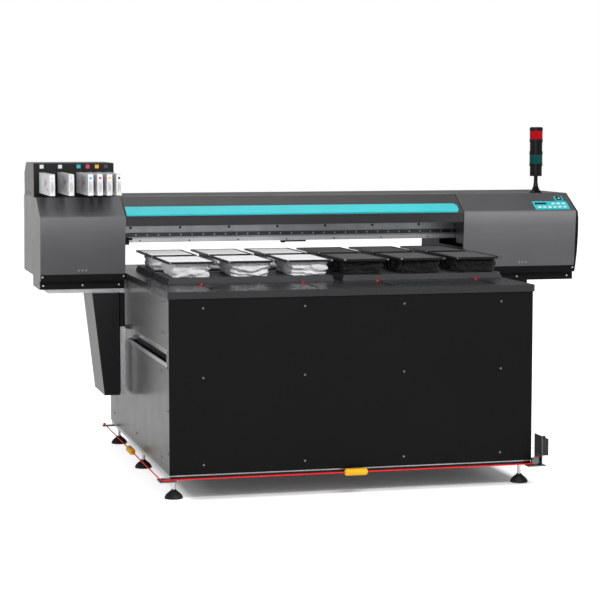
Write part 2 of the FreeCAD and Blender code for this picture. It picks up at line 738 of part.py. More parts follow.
def build_pods():
    far_low = ZERO + 500
    far_high = ZERO + 1500
    covers = []
    floors = []
    spans = (("left_pod", left_pod_out + sheet_thick, left_pod_in),
             ("right_pod", right_pod_in, right_pod_out))
    for name, x0, x1 in spans:
        tube = pod_tube(name, x0, x1 - x0)
        wide = (x0 - 5, x1 + 5)
        split_y = gantry_y + slope_run
        front_zone = box(name + "_front_zone", wide, (gantry_y - 10, split_y), (pod_chin, far_high))
        cover_zone = box(name + "_cover_zone", wide, (split_y, gantry_rear + 10), (pod_chin, far_high))
        floor_zone = box(name + "_floor_zone", wide, (gantry_y - 10, gantry_rear + 10), (far_low, pod_chin))
        keep(name + "_front", common(name + "_skin", tube, front_zone))
        covers.append(common(name + "_cover", tube, cover_zone))
        floors.append(common(name + "_floor", tube, floor_zone))
    keep("pod_covers", group("covers", covers))
    keep("pod_floors", group("floors", floors))

    side = padded("left_side", "YZ_Plane", pod_section(0), sheet_thick, left_pod_out,
                  ZERO, ZERO)
    keep("left_pod_side", side)

    # the right end cap swells outwards in front view
    cap_x = right_pod_out
    swell = size("cap_middle", 1136, "height of the end cap's widest point")
    front_view = outline("cap_view", "XZ", (
        (cap_x, pod_belly - 10), (cap_x + cap_wide - 8, pod_belly - 10), (cap_x + cap_wide - 8, strip_low),
        (cap_x + cap_wide - 2, pod_chin), (cap_x + cap_wide + cap_bulge * 0.6, swell - 90),
        (cap_x + cap_wide + cap_bulge, swell), (cap_x + cap_wide + cap_bulge * 0.6, swell + 90),
        (cap_x + cap_wide - 1, pod_top - slope_rise), (cap_x + cap_wide - 7, pod_top + 5),
        (cap_x, pod_top + 5)), ZERO, gantry_rear + 5, ZERO)
    view = extrude("cap_view_solid", front_view, pod_depth + 20)
    section = extrude("cap_section", outline("cap_section_line", "YZ", pod_section(0), cap_x,
                                             ZERO, ZERO), cap_wide + cap_bulge)
    keep("right_pod_side", common("right_cap", view, section))


def build_end_plates():
    plates = []
    for name, x0 in (("left", left_pod_in - end_plate), ("right", right_pod_in)):
        line = outline("end_%s_line" % name, "YZ", pod_section(sheet_thick + seam), x0,
                       ZERO, ZERO)
        plate = extrude("end_%s_plate" % name, line, end_plate)
        window = box("end_%s_window" % name, (x0 - 2, x0 + end_plate + 2),
                     (carriage_front - 9, beam_y + beam_deep),
                     (carriage_bottom - head_drop - 3, carriage_top + 12))
        belt_way = box("end_%s_belt_way" % name, (x0 - 2, x0 + end_plate + 2),
                       (beam_y + beam_deep / 2 - 30, beam_y + beam_deep / 2 + 30),
                       (carriage_top, beam_z + beam_high + 24))
        plates.append(cut("end_%s" % name, plate, [fuse("end_%s_ways" % name, [window, belt_way])]))
    keep("pod_end_plates", group("end_plates", plates))


# ---- centre section: fixed cover behind, hinged cover with its grip in front
hinge_y = gantry_y + slope_run + 150
hinge_z = pod_top - 6
hinge_r = size("hinge_r", 5, "radius of the cover's hinge barrel")
cover_drop = size("cover_drop", 50, "front lip of the hinged cover")
grip_low = size("grip_low", 2, "grip bar, up the slope from the corner")
grip_wide = size("grip_wide", 74, "grip bar, along the slope")
grip_short = size("grip_short", 24, "grip bar, short of the cover's right end")
grip_thick = size("grip_thick", 12, "grip bar, off the slope")


def build_centre():
    t = sheet_thick
    top = padded("top_sheet", "YZ_Plane", (
        (hinge_y + hinge_r * 0.88, pod_top - t), (hinge_y + hinge_r * 0.88, pod_top),
        (gantry_rear - 37, pod_top), (gantry_rear - 15, beam_z + 10),
        (gantry_rear - 15 - t, beam_z + 10), (gantry_rear - 37 - t, pod_top - t)),
        right_pod_in - left_pod_in, left_pod_in, ZERO, ZERO)
    keep("centre_cover", top)

    x0 = left_pod_in + 3
    x1 = right_pod_in - 3
    front = gantry_y + 2
    corner = pod_top - slope_rise
    under = t * SLOPE_LEAN
    sheet_solid = padded("cover_sheet", "YZ_Plane", (
        (front, corner), (front + 3, corner - cover_drop), (front + 3 + t, corner - cover_drop),
        (front + t, corner - under), (front + slope_run + under, pod_top - t), (hinge_y - 3, pod_top - t),
        (hinge_y - 3, pod_top), (front + slope_run, pod_top)), x1 - x0, x0, ZERO, ZERO)
    barrel = rod("hinge_barrel", "X", x0, hinge_y, hinge_z, hinge_r, x1 - x0)
    keep("front_cover", fuse("hinged_cover", [sheet_solid, barrel]))

    # the grip lies on the slope: drawn flat, then turned up about the front corner
    body = fresh("PartDesign::Body", "grip")
    long = x1 - x0 - 4 - grip_short
    sketch = body_sketch(body, "grip_outline", "XY_Plane", (
        (ZERO, ZERO), (long - 8, ZERO), (long, ZERO + 14),
        (long, grip_wide - 22), (long - 18, grip_wide), (ZERO, grip_wide)))
    pad = body.newObject("PartDesign::Pad", "grip_pad")
    pad.Profile = sketch
    bind(pad, "Length", grip_thick)
    doc.recompute()
    rounded = body.newObject("PartDesign::Fillet", "grip_round")
    long_edges = ["Edge%d" % (index + 1) for index, edge in enumerate(pad.Shape.Edges)
                  if edge.BoundBox.ZMin > number(grip_thick) - 0.1 and edge.Length > 500]
    rounded.Base = (pad, long_edges)
    bind(rounded, "Radius", grip_thick * 0.4)
    body.Tip = rounded
    keep("grip_bar", on_slope(body, x0 + 2, grip_low, seam * 0.4, 2))


# ---- carriage beam, rail, belt and its pulleys
def build_x_drive():
    beam_x0 = left_pod_in - 300
    beam_x1 = right_pod_in + 488
    solid = box("beam_solid", (beam_x0, beam_x1), (beam_y, beam_y + beam_deep),
                (beam_z, beam_z + beam_high))
    hollow = box("beam_hollow", (beam_x0 - 1, beam_x1 + 1),
                 (beam_y + beam_wall, beam_y + beam_deep - beam_wall),
                 (beam_z + beam_wall, beam_z + beam_high - beam_wall))
    grooves = [box("beam_groove_%d" % index, (beam_x0 - 1, beam_x1 + 1), (beam_y - 1, beam_y + groove_deep),
                   (z, z + groove_tall))
               for index, z in enumerate((x_rail_level + groove_up, x_rail_level - groove_down))]
    keep("gantry_beam", cut("beam_tube", solid, [hollow] + grooves))
    keep("x_rail", box("rail_x", (beam_x0 + 10, beam_x1 - 10), (beam_y - rail_deep, beam_y),
                       (x_rail_level - rail_wide / 2, x_rail_level + rail_wide / 2)))

    beam_top = beam_z + beam_high
    belt_z = beam_top + 8
    pulley_y = beam_y + beam_deep / 2
    left_x = beam_x0 - 30
    right_x = beam_x1 + 30
    blocks = []
    for name, x in (("idler", left_x), ("motor", right_x)):
        block = box(name + "_block", (x - 30, x + 30), (pulley_y - 30, pulley_y + 30),
                    (beam_top - 75, beam_top))
        pin = rod(name + "_pin", "Z", x, pulley_y, beam_top, pin_r, 24)
        blocks.append(fuse(name, [block, pin]))
        wheel = rod(name + "_wheel", "Z", x, pulley_y, belt_z - 2, pulley_r - running, belt_wide + 4)
        bore = rod(name + "_wheel_bore", "Z", x, pulley_y, belt_z - 4, pin_r + shaft_gap, belt_wide + 8)
        keep("x_drive_pulley" if name == "motor" else "x_idler_pulley",
             cut(name + "_pulley", wheel, [bore]))
    shaft_z = rack_pitch_level - tooth_module * pinion_teeth / 2
    carrier_in = panel_in - 6 - 10
    blocks.append(box("y_motor", (-carrier_in, -carrier_in + 80),
                      (ZERO + shaft_y - 30, ZERO + shaft_y + 30),
                      (shaft_z - 95, shaft_z - 35)))
    keep("drive_motors", group("motors", blocks))

    outer_r = pulley_r + belt_thick

    def loop(label, radius, low, high):
        straight = box(label + "_straight", (left_x, right_x), (pulley_y - radius, pulley_y + radius),
                       (low, high))
        ends = [rod("%s_end_%d" % (label, index), "Z", x, pulley_y, low, radius, high - low)
                for index, x in enumerate((left_x, right_x))]
        return fuse(label, [straight] + ends)

    keep("x_belt", cut("belt_loop", loop("belt_outer", outer_r, belt_z, belt_z + belt_wide),
                       [loop("belt_inner", pulley_r, belt_z - 1, belt_z + belt_wide + 1)]))


def build_carriage():
    x0 = carriage_x
    x1 = carriage_x + carriage_wide
    back = beam_y - 26
    shell = box("shell_solid", (x0, x1), (carriage_front, back), (carriage_bottom, carriage_top))
    space = box("shell_space", (x0 + 4, x1 - 4), (carriage_front + 4, back - 4),
                (carriage_bottom + 4, carriage_top + 1))
    block = box("carriage_block", (x0 + bearing_in, x1 - bearing_in), (back, beam_y - 3),
                (x_rail_level - bearing_tall / 2, x_rail_level + bearing_tall / 2))
    channel = box("carriage_channel", (x0 + bearing_in - 10, x1 - bearing_in + 10),
                  (beam_y - rail_deep - running, beam_y),
                  (x_rail_level - rail_wide / 2 - running, x_rail_level + rail_wide / 2 + running))
    bearing = cut("rail_block", block, [channel])
    lid = box("carriage_lid", (x0, x1), (carriage_front, back), (carriage_top, carriage_top + 4))
    keep("carriage_shell", group("shell", [cut("shell_tub", shell, [space]), lid, bearing]))

    heads = []
    caps = []
    step = carriage_wide / (head_count + 0.5)
    for index in range(head_count):
        x = x0 + 30 + index * step
        low = carriage_bottom - head_drop
        heads.append(box("head_%d" % index, (x, x + 58), (carriage_front + 50, back - 50),
                         (low, carriage_bottom)))
        caps.append(box("cap_%d" % index, (x - 4, x + 62), (carriage_front + 45, back - 45),
                        (low - running - 8, low - running)))
    keep("print_heads", group("heads", heads))
    cap_floor = carriage_bottom - head_drop - running - 8
    caps.append(box("cap_base", (x0 + 15, x1 - 15), (carriage_front + 40, back - 40),
                    (pod_belly, cap_floor)))
    keep("cap_station", group("caps", caps))


# ---- fittings on the beam: an end stop with its buffer at each end, and the sensor bar below
def build_fittings():
    fittings = []
    stop_y = (beam_y - 22, beam_y)
    stop_z = (x_rail_level - 50, x_rail_level - rail_wide / 2 - 2)
    buffer_z = x_rail_level - 21
    left_end = carriage_x - carriage_travel + bearing_in - buffer_gap
    right_end = carriage_x + carriage_wide - bearing_in + buffer_gap
    for name, start, block_x in (("left", left_end - buffer_long,
                                  (left_end - buffer_long - stop_long, left_end - buffer_long)),
                                 ("right", right_end,
                                  (right_end + buffer_long, right_end + buffer_long + stop_long))):
        block = box("stop_%s_block" % name, block_x, stop_y, stop_z)
        buffer = rod("stop_%s_buffer" % name, "X", start, beam_y - 12, buffer_z, buffer_r, buffer_long)
        fittings.append(fuse("stop_" + name, [block, buffer]))
    bar = box("sensor_strip", (sensor_x, sensor_x + sensor_long), (beam_y + 2, beam_y + 12),
              (beam_z - 8, beam_z))
    head = box("sensor_head", (sensor_x, sensor_x + 22), (beam_y - 2, beam_y + 16), (beam_z - 12, beam_z))
    fittings.append(fuse("sensor_bar", [bar, head]))
    keep("beam_fittings", group("fittings", fittings))


# ---- pallets: two boards each, three platens with hoop frames and folded garments
def build_pallets():
    boards = []
    platens = []
    hoops = []
    garments = {"white": [], "black": []}
    pitch = (pallet_wide - platen_wide) / 2
    for row in range(2):
        y0 = pallet_front + (pallet_deep + row_gap) * row
        y1 = y0 + pallet_deep
        for column, colour in enumerate(("white", "black")):
            x0 = pallet_x + (pallet_wide + pallet_gap) * column
            name = "%s_%d" % (colour, row)
            floor = table_height + board_low
            top = floor + board_high
            boards.append(box("lower_board_" + name, (x0, x0 + pallet_wide), (y0, y1),
                              (table_height, floor)))
            boards.append(box("upper_board_" + name, (x0 + 5, x0 + pallet_wide - 5), (y0 + 5, y1 - 5),
                              (floor, top)))
            for place in range(3):
                a0 = x0 + pitch * place
                a1 = a0 + platen_wide
                item = "%s_%d" % (name, place)
                level = top + bundle_tall
                column_x = (a0 + 45, a1 - 45)
                column_y = (y0 + 60, y1 - 60)
                inner_x = (a0 + hoop_rim + running, a1 - hoop_rim - running)
                inner_y = (y0 + hoop_rim + running, y1 - hoop_rim - running)
                stand = box("stand_" + item, column_x, column_y, (top, level))
                board = box("board_" + item, inner_x, inner_y, (level, level + hoop_tall - 3))
                platens.append(fuse("platen_" + item, [stand, board]))
                frame_solid = box("hoop_solid_" + item, (a0, a1), (y0, y1), (level, level + hoop_tall))
                frame_space = box("hoop_space_" + item, (a0 + hoop_rim, a1 - hoop_rim),
                                  (y0 + hoop_rim, y1 - hoop_rim), (level - 1, level + hoop_tall + 1))
                hoops.append(cut("hoop_" + item, frame_solid, [frame_space]))
                bundle = box("bundle_solid_" + item, (a0 + 7, a1 - 7), (y0 + 9, y1 - 9),
                             (top + running, level - running))
                hole = box("bundle_space_" + item, (column_x[0] - running, column_x[1] + running),
                           (column_y[0] - running, column_y[1] + running), (top - 1, level + 1))
                garments[colour].append(cut("bundle_" + item, bundle, [hole]))
                garments[colour].append(box("chest_" + item, inner_x, inner_y,
                                            (level + hoop_tall - 3 + running, level + hoop_tall - running)))
    keep("pallet_boards", group("boards", boards))
    keep("platens", group("platen_set", platens))
    keep("hoop_frames", group("hoops", hoops))
    keep("white_garments", group("white_set", garments["white"]))
    keep("black_garments", group("black_set", garments["black"]))


# ---- ink rack with six cartridges, the first two wide apart, measured from the rack's left side
CARTRIDGE_PLACES = (42, 137, 233, 280, 328, 375)


def build_ink():
    rack_z0 = pod_top
    rack_rear = rack_front + rack_deep
    rack_z1 = cartridge_low + cartridge_tall + rack_head
    shape = padded("rack_block", "YZ_Plane", (
        (rack_front, rack_z0), (rack_rear, rack_z0), (rack_rear, rack_z1 - rack_slope_rise),
        (rack_rear - rack_slope_run, rack_z1), (rack_front, rack_z1)), rack_wide, rack_left, ZERO, ZERO)
    slots = []
    tags = []
    half_wide = cartridge_wide / 2
    for index, place in enumerate(CARTRIDGE_PLACES):
        x = rack_left + place
        slots.append(box("ink_slot_%d" % index, (x - half_wide - running, x + half_wide + running),
                         (rack_front - 1, rack_front + cartridge_in + 2),
                         (cartridge_low - running, cartridge_low + cartridge_tall + running)))
        keep("ink_cartridge_%d" % (index + 1),
             box("cartridge_%d" % index, (x - half_wide, x + half_wide),
                 (rack_front - cartridge_out, rack_front + cartridge_in),
                 (cartridge_low, cartridge_low + cartridge_tall)))
        tags.append(box("tag_%d" % index, (x - tag_wide / 2, x + tag_wide / 2),
                        (rack_front - tag_thick, rack_front), (rack_z1 - 8 - tag_tall, rack_z1 - 8)))
    keep("ink_rack", cut("slotted_rack", shape, slots))
    keep("ink_tags", group("tags", tags))


def build_tower():
    z = pod_top
    cap = tower_r + 1.5
    stem_r = tower_r * 0.3
    can_top = tower_stem + tower_can
    base = turned("tower_base", (
        (0, 0), (tower_r - 1, 0), (tower_r - 1, ZERO + 4), (tower_r * 0.62, ZERO + 16),
        (tower_r * 0.4, ZERO + 34), (stem_r, ZERO + 60), (stem_r, tower_stem), (tower_r - 2, tower_stem),
        (tower_r - 2, can_top), (cap, can_top), (cap, can_top + 13), (0, can_top + 13)),
        tower_x, tower_y, z)
    green = z + can_top + 13
    ring = green + lens_tall
    clear = ring + ring_tall + 1
    top_ring = clear + lens_tall
    red = top_ring + ring_tall
    keep("tower_green_lens", rod("green_lens", "Z", tower_x, tower_y, green, tower_r, lens_tall))
    lower_ring = rod("ring_lower", "Z", tower_x, tower_y, ring, cap, ring_tall + 1)
    clear_lens = rod("clear_lens", "Z", tower_x, tower_y, clear, tower_r - 1, lens_tall)
    upper_ring = rod("ring_upper", "Z", tower_x, tower_y, top_ring, cap, ring_tall)
    keep("tower_red_lens", rod("red_lens", "Z", tower_x, tower_y, red, tower_r, red_tall))
    lid = turned("tower_lid", ((0, 0), (cap, 0), (cap, lid_tall - 6), (cap - 6, lid_tall), (0, lid_tall)),
                 tower_x, tower_y, red + red_tall)
    keep("tower_body", group("tower_black", [base, lower_ring, clear_lens, upper_ring, lid]))


# ---- operator panel, flat on the right pod's slope
panel_out_x = size("panel_out_x", 410, "operator panel, out from the right pod's inner end")
panel_wide = size("panel_wide", 196, "operator panel, side to side")
panel_up = size("panel_up", 21, "operator panel, up the slope from the corner")
panel_long = size("panel_long", 74, "operator panel, along the slope")
panel_thick = size("panel_thick", 4, "operator panel, thickness")
key_wide = size("key_wide", 18, "key of the operator panel, side to side")
key_thick = size("key_thick", 1.5, "key of the operator panel, thickness")
button_out = size("button_out", 572, "power button, out from the right pod's inner end")
button_up = size("button_up", 124, "power button, up the slope")
button_r = size("button_r", 12, "power button radius")
panel_x = right_pod_in + panel_out_x
button_x = right_pod_in + button_out


def on_slope(item, x, up, off, back=0):
    """Puts an object drawn flat on the slope: x, up the slope, off its surface, and set back."""
    turn = FreeCAD.Rotation(FreeCAD.Vector(1, 0, 0), math.degrees(slope_angle))
    item.Placement = FreeCAD.Placement(FreeCAD.Vector(), turn)
    rise = math.sin(slope_angle)
    run = math.cos(slope_angle)
    move(item, x, gantry_y + back + up * run - off * rise, pod_top - slope_rise + up * rise + off * run)
    return item


def flat_box(label, wide, long, thick):
    item = fresh("Part::Box", label)
    bind(item, "Length", wide)
    bind(item, "Width", long)
    bind(item, "Height", thick)
    return item


def flat_disc(label, radius, thick):
    item = fresh("Part::Cylinder", label)
    bind(item, "Radius", radius)
    bind(item, "Height", thick)
    return item


def build_operator_panel():
    plate = on_slope(flat_box("panel_plate", panel_wide, panel_long, panel_thick), panel_x, panel_up, ZERO)
    bezel = on_slope(flat_box("bezel_plate", ZERO + 46, ZERO + 38, ZERO + 5), button_x - 23,
                     button_up - 19, ZERO)
    hole = on_slope(flat_disc("bezel_hole", button_r + running, ZERO + 8), button_x, button_up, ZERO - 1)
    keep("control_panel", group("panel_set", [plate, cut("bezel", bezel, [hole])]))
    keys = []
    for row, up in enumerate((panel_long * 0.16, panel_long * 0.60)):
        for column in range(3 * row, 6):
            key = flat_box("key_%d_%d" % (column, row), key_wide, key_wide * 0.75, key_thick)
            key_x = panel_x + key_wide + column * key_wide * 1.62
            keys.append(on_slope(key, key_x, panel_up + up, panel_thick))
    screen = flat_box("screen", key_wide * 3.6, panel_long * 0.22, key_thick)
    keys.append(on_slope(screen, panel_x + key_wide * 0.6, panel_up + panel_long * 0.60, panel_thick))
    keep("panel_keys", group("keys", keys))
    keep("power_button", on_slope(flat_disc("button", button_r, ZERO + 5), button_x, button_up, ZERO + 2.4))


# ---- electronics in the base
cabinet_left = size("cabinet_left", 500, "electronics cabinet, left of the middle")
cabinet_right = size("cabinet_right", 300, "electronics cabinet, right of the middle")
cabinet_tall = size("cabinet_tall", 360, "electronics cabinet, height")
cabinet_sheet = size("cabinet_sheet", 2, "sheet metal of the electronics cabinet")


def build_electronics():
    low = frame_bottom + profile
    t = cabinet_sheet
    wide = (-cabinet_left, cabinet_right)
    deep = (middle_y + 5, frame_rear - 3)
    solid = box("cabinet_solid", wide, deep, (low, low + cabinet_tall))
    space = box("cabinet_space", (wide[0] + t, wide[1] - t), (deep[0] + t, deep[1] - t),
                (low + t, low + cabinet_tall - t))
    cabinet = cut("cabinet", solid, [space])
    reach = inlet_side / 2
    inlet = box("inlet", (inlet_x - reach, inlet_x + reach), (frame_rear - 3, frame_rear + 6),
                (inlet_level - reach, inlet_level + reach))
    keep("electronics_box", group("electronics", [cabinet, inlet]))


# ---- safety rope round the base: held taut by an anchor, two pulleys and a pull switch
switch_x = half
tag_long = size("tag_long", 110, "rope sleeve, length")
tag_r = size("tag_r", 16.5, "rope sleeve radius")
tag_front = size("tag_front", 58, "front sleeve, starts this far left of the middle")
tag_side = size("tag_side", 775, "left sleeve, starts this far behind the table's front edge")
switch_low = size("switch_low", 145, "underside of the rope switch")
switch_tall = size("switch_tall", 80, "rope switch, height")


def build_rope():
    left = -half - rope_left
    front = -rope_front
    corner_x = left + rope_turn
    corner_y = front + rope_turn
    end_y = table_depth - 79
    rise = number(rope_turn)
    z = number(rope_level)
    end_top = z + rise + 22

    lx = number(left)
    fy = number(front)
    rx = number(switch_x)
    quarter = math.sqrt(0.5)
    vector = FreeCAD.Vector
    path = Part.Wire([
        Part.LineSegment(vector(lx, number(end_y), z), vector(lx, fy + rise, z)).toShape(),
        Part.Arc(vector(lx, fy + rise, z), vector(lx + rise - rise * quarter, fy + rise - rise * quarter, z),
                 vector(lx + rise, fy, z)).toShape(),
        Part.LineSegment(vector(lx + rise, fy, z), vector(rx, fy, z)).toShape(),
        Part.Arc(vector(rx, fy, z), vector(rx + rise * quarter, fy, z + rise - rise * quarter),
                 vector(rx + rise, fy, z + rise)).toShape(),
        Part.LineSegment(vector(rx + rise, fy, z + rise), vector(rx + rise, fy, end_top)).toShape(),
    ])
    circle = Part.Wire(Part.makeCircle(number(rope_r), vector(lx, number(end_y), z), vector(0, -1, 0)))
    rope = path.makePipeShell([circle], True, False)
    keep("safety_rope", made("rope", rope))

    # pulleys: grooved wheels on pins
    groove_r = rope_turn - rope_r - running
    half_thick = wheel_thick / 2
    groove_half = rope_r + rope_side
    wheel = ((ZERO + wheel_pin_r + shaft_gap, -half_thick), (wheel_r, -half_thick),
             (wheel_r, -groove_half - 0.4), (groove_r, -groove_half), (groove_r, groove_half),
             (wheel_r, groove_half + 0.4),
             (wheel_r, half_thick), (ZERO + wheel_pin_r + shaft_gap, half_thick))
    keep("rope_pulley_left", turned("left_wheel", wheel, corner_x, corner_y, rope_level))
    right_wheel = turned("right_wheel", wheel, switch_x, front, rope_level + rope_turn)
    right_wheel.Placement = FreeCAD.Placement(FreeCAD.Vector(), FreeCAD.Rotation(vector(1, 0, 0), 90))
    move(right_wheel, switch_x, front, rope_level + rope_turn)
    keep("rope_pulley_right", right_wheel)

    plate_low = frame_bottom - 6
    wall_in = half + 28
    brackets = []
    plate = box("left_plate", (corner_x - 20, -panel_in + 25), (corner_y - 18, frame_front + 45),
                (plate_low, frame_bottom))
    pin = rod("left_pin", "Z", corner_x, corner_y, frame_bottom, wheel_pin_r,
              rope_level + half_thick + 3 - frame_bottom)
    brackets.append(fuse("left_bracket", [plate, pin]))
    plate = box("right_plate", (panel_in - 30, half + 50), (front - 15, frame_front + 45),
                (plate_low, frame_bottom))
    wall = box("right_wall", (wall_in, wall_in + 4), (front - 15, frame_front + 45),
               (frame_bottom, switch_low + switch_tall + 15))
    tab = box("right_tab", (switch_x - 15, wall_in), (front + 16, front + 20),
              (frame_bottom, rope_level + rope_turn + 12))
    pin = rod("right_pin", "Y", switch_x, front - half_thick - 1, rope_level + rope_turn, wheel_pin_r,
              ZERO + 24)
    brackets.append(fuse("right_bracket", [plate, wall, tab, pin]))
    plate = box("rear_plate_rope", (left - 10, -panel_in + 14), (end_y - 10, end_y + 30),
                (plate_low, frame_bottom))
    eye = box("rear_eye", (left - 6, left + 6), (end_y, end_y + 12), (frame_bottom, rope_level + 6))
    brackets.append(fuse("rear_bracket", [plate, eye]))
    keep("rope_brackets", group("bracket_set", brackets))

    body = box("switch_case", (wall_in + 4, wall_in + 36), (front - 10, front + 30),
               (switch_low, switch_low + switch_tall))
    hook = box("switch_hook", (switch_x + rope_turn - 7, wall_in), (front - 6, front + 6),
               (ZERO + end_top, ZERO + end_top + 12))
    ring = rod("switch_knob", "Z", wall_in + 20, front + 10, switch_low + switch_tall, 8, 12)
    keep("rope_switch", group("switch_set", [fuse("switch_body", [body, ring]), hook]))

    sleeves = []
    bore = rope_r + running
    shoulder = tag_r * 0.6
    for name, axis, x, y in (("front", "X", -tag_front, front), ("left", "Y", left, tag_side)):
        sleeve = turned("sleeve_%s" % name, (
            (bore, 0), (shoulder, 0), (tag_r, tag_r - shoulder), (tag_r, tag_long - tag_r + shoulder),
            (shoulder, tag_long), (bore, tag_long)), x, y, rope_level)
        sleeve.Placement = FreeCAD.Placement(FreeCAD.Vector(), TURN[axis])
        move(sleeve, x, y, rope_level)
        sleeves.append(sleeve)
    keep("rope_sleeves", group("sleeves", sleeves))


def build():
    build_frame()
    build_panels()
    build_table()
    build_feet()
    build_y_drive()
    build_arms()
    build_pods()
    build_end_plates()
    build_centre()
    build_x_drive()
    build_carriage()
    build_fittings()
    build_pallets()
    build_ink()
    build_tower()
    build_operator_panel()
    build_electronics()
    build_rope()


def check():
    """Every object recomputed well, and every node a valid shape."""
    for item in doc.Objects:
        if "Invalid" in item.State or "Error" in item.State:
            raise RuntimeError("%s did not recompute: %s" % (item.Label, item.State))
    for label, item in nodes.items():
        if item.Shape.isNull() or not item.Shape.isValid() or not item.Shape.Solids:
            raise RuntimeError("%s has no valid solid" % label)


build()
doc.recompute()
check()
os.makedirs("parts", exist_ok=True)
for label, item in nodes.items():
    item.Shape.exportStep("parts/%s.step" % label)
print("%d nodes" % len(nodes))
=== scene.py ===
import math

import bmesh
import bpy
from bpy.props import FloatProperty, FloatVectorProperty, IntProperty, PointerProperty
from mathutils import Matrix, Vector, noise


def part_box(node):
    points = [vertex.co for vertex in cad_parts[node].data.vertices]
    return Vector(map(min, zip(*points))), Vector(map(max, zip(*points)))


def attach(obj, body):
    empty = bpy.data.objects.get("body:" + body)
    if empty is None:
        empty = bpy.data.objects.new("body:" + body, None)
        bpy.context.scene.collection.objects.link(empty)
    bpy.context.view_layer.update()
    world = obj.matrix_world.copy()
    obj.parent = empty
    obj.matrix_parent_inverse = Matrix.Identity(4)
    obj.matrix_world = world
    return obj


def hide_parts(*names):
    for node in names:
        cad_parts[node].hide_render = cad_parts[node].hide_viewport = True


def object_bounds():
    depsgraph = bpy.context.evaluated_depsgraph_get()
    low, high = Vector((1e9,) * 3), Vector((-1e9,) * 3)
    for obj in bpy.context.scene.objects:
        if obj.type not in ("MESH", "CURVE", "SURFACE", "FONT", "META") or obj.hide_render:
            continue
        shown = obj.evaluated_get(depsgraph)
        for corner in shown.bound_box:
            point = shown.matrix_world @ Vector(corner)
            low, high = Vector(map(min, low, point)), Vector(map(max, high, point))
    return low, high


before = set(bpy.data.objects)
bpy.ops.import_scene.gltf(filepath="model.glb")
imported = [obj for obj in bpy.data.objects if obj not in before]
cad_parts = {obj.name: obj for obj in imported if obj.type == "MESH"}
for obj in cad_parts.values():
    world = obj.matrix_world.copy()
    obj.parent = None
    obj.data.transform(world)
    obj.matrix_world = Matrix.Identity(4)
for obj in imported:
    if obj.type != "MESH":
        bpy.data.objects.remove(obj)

bl_info = {
    "name": "Flatbed garment printer",
    "version": (1, 0, 0),
    "blender": (4, 5, 0),
    "location": "3D View > Sidebar > Printer",
    "description": "Finishes, cloth and small pieces of a flatbed garment printer",
    "category": "Object",
}

CAD_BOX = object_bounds()

# Platens and their garments, in metres.
PLATEN_WIDE = 0.240
PLATEN_DEEP = 0.430
PLATEN_PITCH = 0.290
ROW_PITCH = 0.503
RIM = 0.0114  # from a hoop's outer edge to the cloth stretched in it
HOOP_GAP = 0.0003  # between a garment and the hoop over it
BUNDLE_INSET = Vector((0.007, 0.009))  # from a platen's edge to its garment
BUNDLE_WALL = (0.010, 0.012)  # from there to the bundle's plain wall
BUNDLE_CORE = (0.020, 0.034)  # from the wall to the core that the cloth can't enter
BUNDLE_CORNER = 0.034
BUNDLE_EDGE = 0.0012  # the cloth's edges stay this far inside the garment's height
BUNDLE_LEAN = 0.012  # the foot of a bundle stands this far inside its top

# Fine lines of brushed metal: the scale of their noise along X, Y and Z.
LINES_ALONG_X = (2.0, 260.0, 260.0)
LINES_ALONG_Y = (260.0, 2.0, 260.0)
LINES_ALONG_Z = (260.0, 260.0, 2.0)

# Turns of a disc, so that it looks forward or sideways.
FACE_FRONT = Matrix.Rotation(math.pi / 2, 3, "X")
FACE_SIDE = Matrix.Rotation(math.pi / 2, 3, "Y")

COVER_LIP = 0.050  # height of the hinged cover's upright lip
PAST = 0.01  # a repainted band reaches this far past the edge of its node
FOOT_BAND = 0.0135  # height of the painted shade along the frame's foot
# the colour of the painted shade along the frame's foot
FOOT_SHADE = (0.020, 0.022, 0.024)
PANEL_BLACK = (0.010, 0.010, 0.011)


# ---------------- sizes and colours a user may change
class PrinterSizes(bpy.types.PropertyGroup):
    crumple: FloatProperty(name="Crumple", description="Extra cloth in each folded garment", default=0.10,
                           min=0.0, max=0.6, subtype="FACTOR")
    slim: FloatProperty(name="Slim", description="How much slimmer a folded garment is at its back",
                        default=0.22, min=0.0, max=0.3, subtype="FACTOR")
    cloth_frames: IntProperty(name="Settling", description="Steps that the cloth settles for", default=20,
                              min=4, max=60)
    bulge: FloatProperty(name="Bulge", description="How far a garment may stand out of its bundle",
                         default=0.009, unit="LENGTH")
    pip_long: FloatProperty(name="Pip length", description="Length of a small pip on a pod", default=0.012,
                            unit="LENGTH")


class PrinterColours(bpy.types.PropertyGroup):
    cover: FloatVectorProperty(name="Covers", description="Pod and gantry covers", subtype="COLOR",
                               default=(0.080, 0.080, 0.083))
    side: FloatVectorProperty(name="Sides", description="Side panels of the base", subtype="COLOR",
                              default=(0.066, 0.065, 0.064))
    front: FloatVectorProperty(name="Front", description="Front and back panels", subtype="COLOR",
                               default=(0.0050, 0.0050, 0.0054))
    table: FloatVectorProperty(name="Table", description="Table top", subtype="COLOR",
                               default=(0.015, 0.015, 0.016))
    grip: FloatVectorProperty(name="Grip", description="Grip bar and operator panel", subtype="COLOR",
                              default=(0.030, 0.530, 0.580))


# ---------------- places in the frame
def corners(node):
    low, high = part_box(node)
    return Vector(low), Vector(high)


def middle_of(node):
    low, high = corners(node)
    return (low + high) / 2


# ---------------- materials
def new_material(name):
    material = bpy.data.materials.new(name)
    material.use_nodes = True
    tree = material.node_tree
    return material, tree, tree.nodes["Principled BSDF"]


def object_point(tree, scale=(1, 1, 1)):
    point = tree.nodes.new("ShaderNodeTexCoord")
    mapping = tree.nodes.new("ShaderNodeMapping")
    mapping.inputs["Scale"].default_value = scale
    tree.links.new(point.outputs["Object"], mapping.inputs["Vector"])
    return mapping.outputs["Vector"]


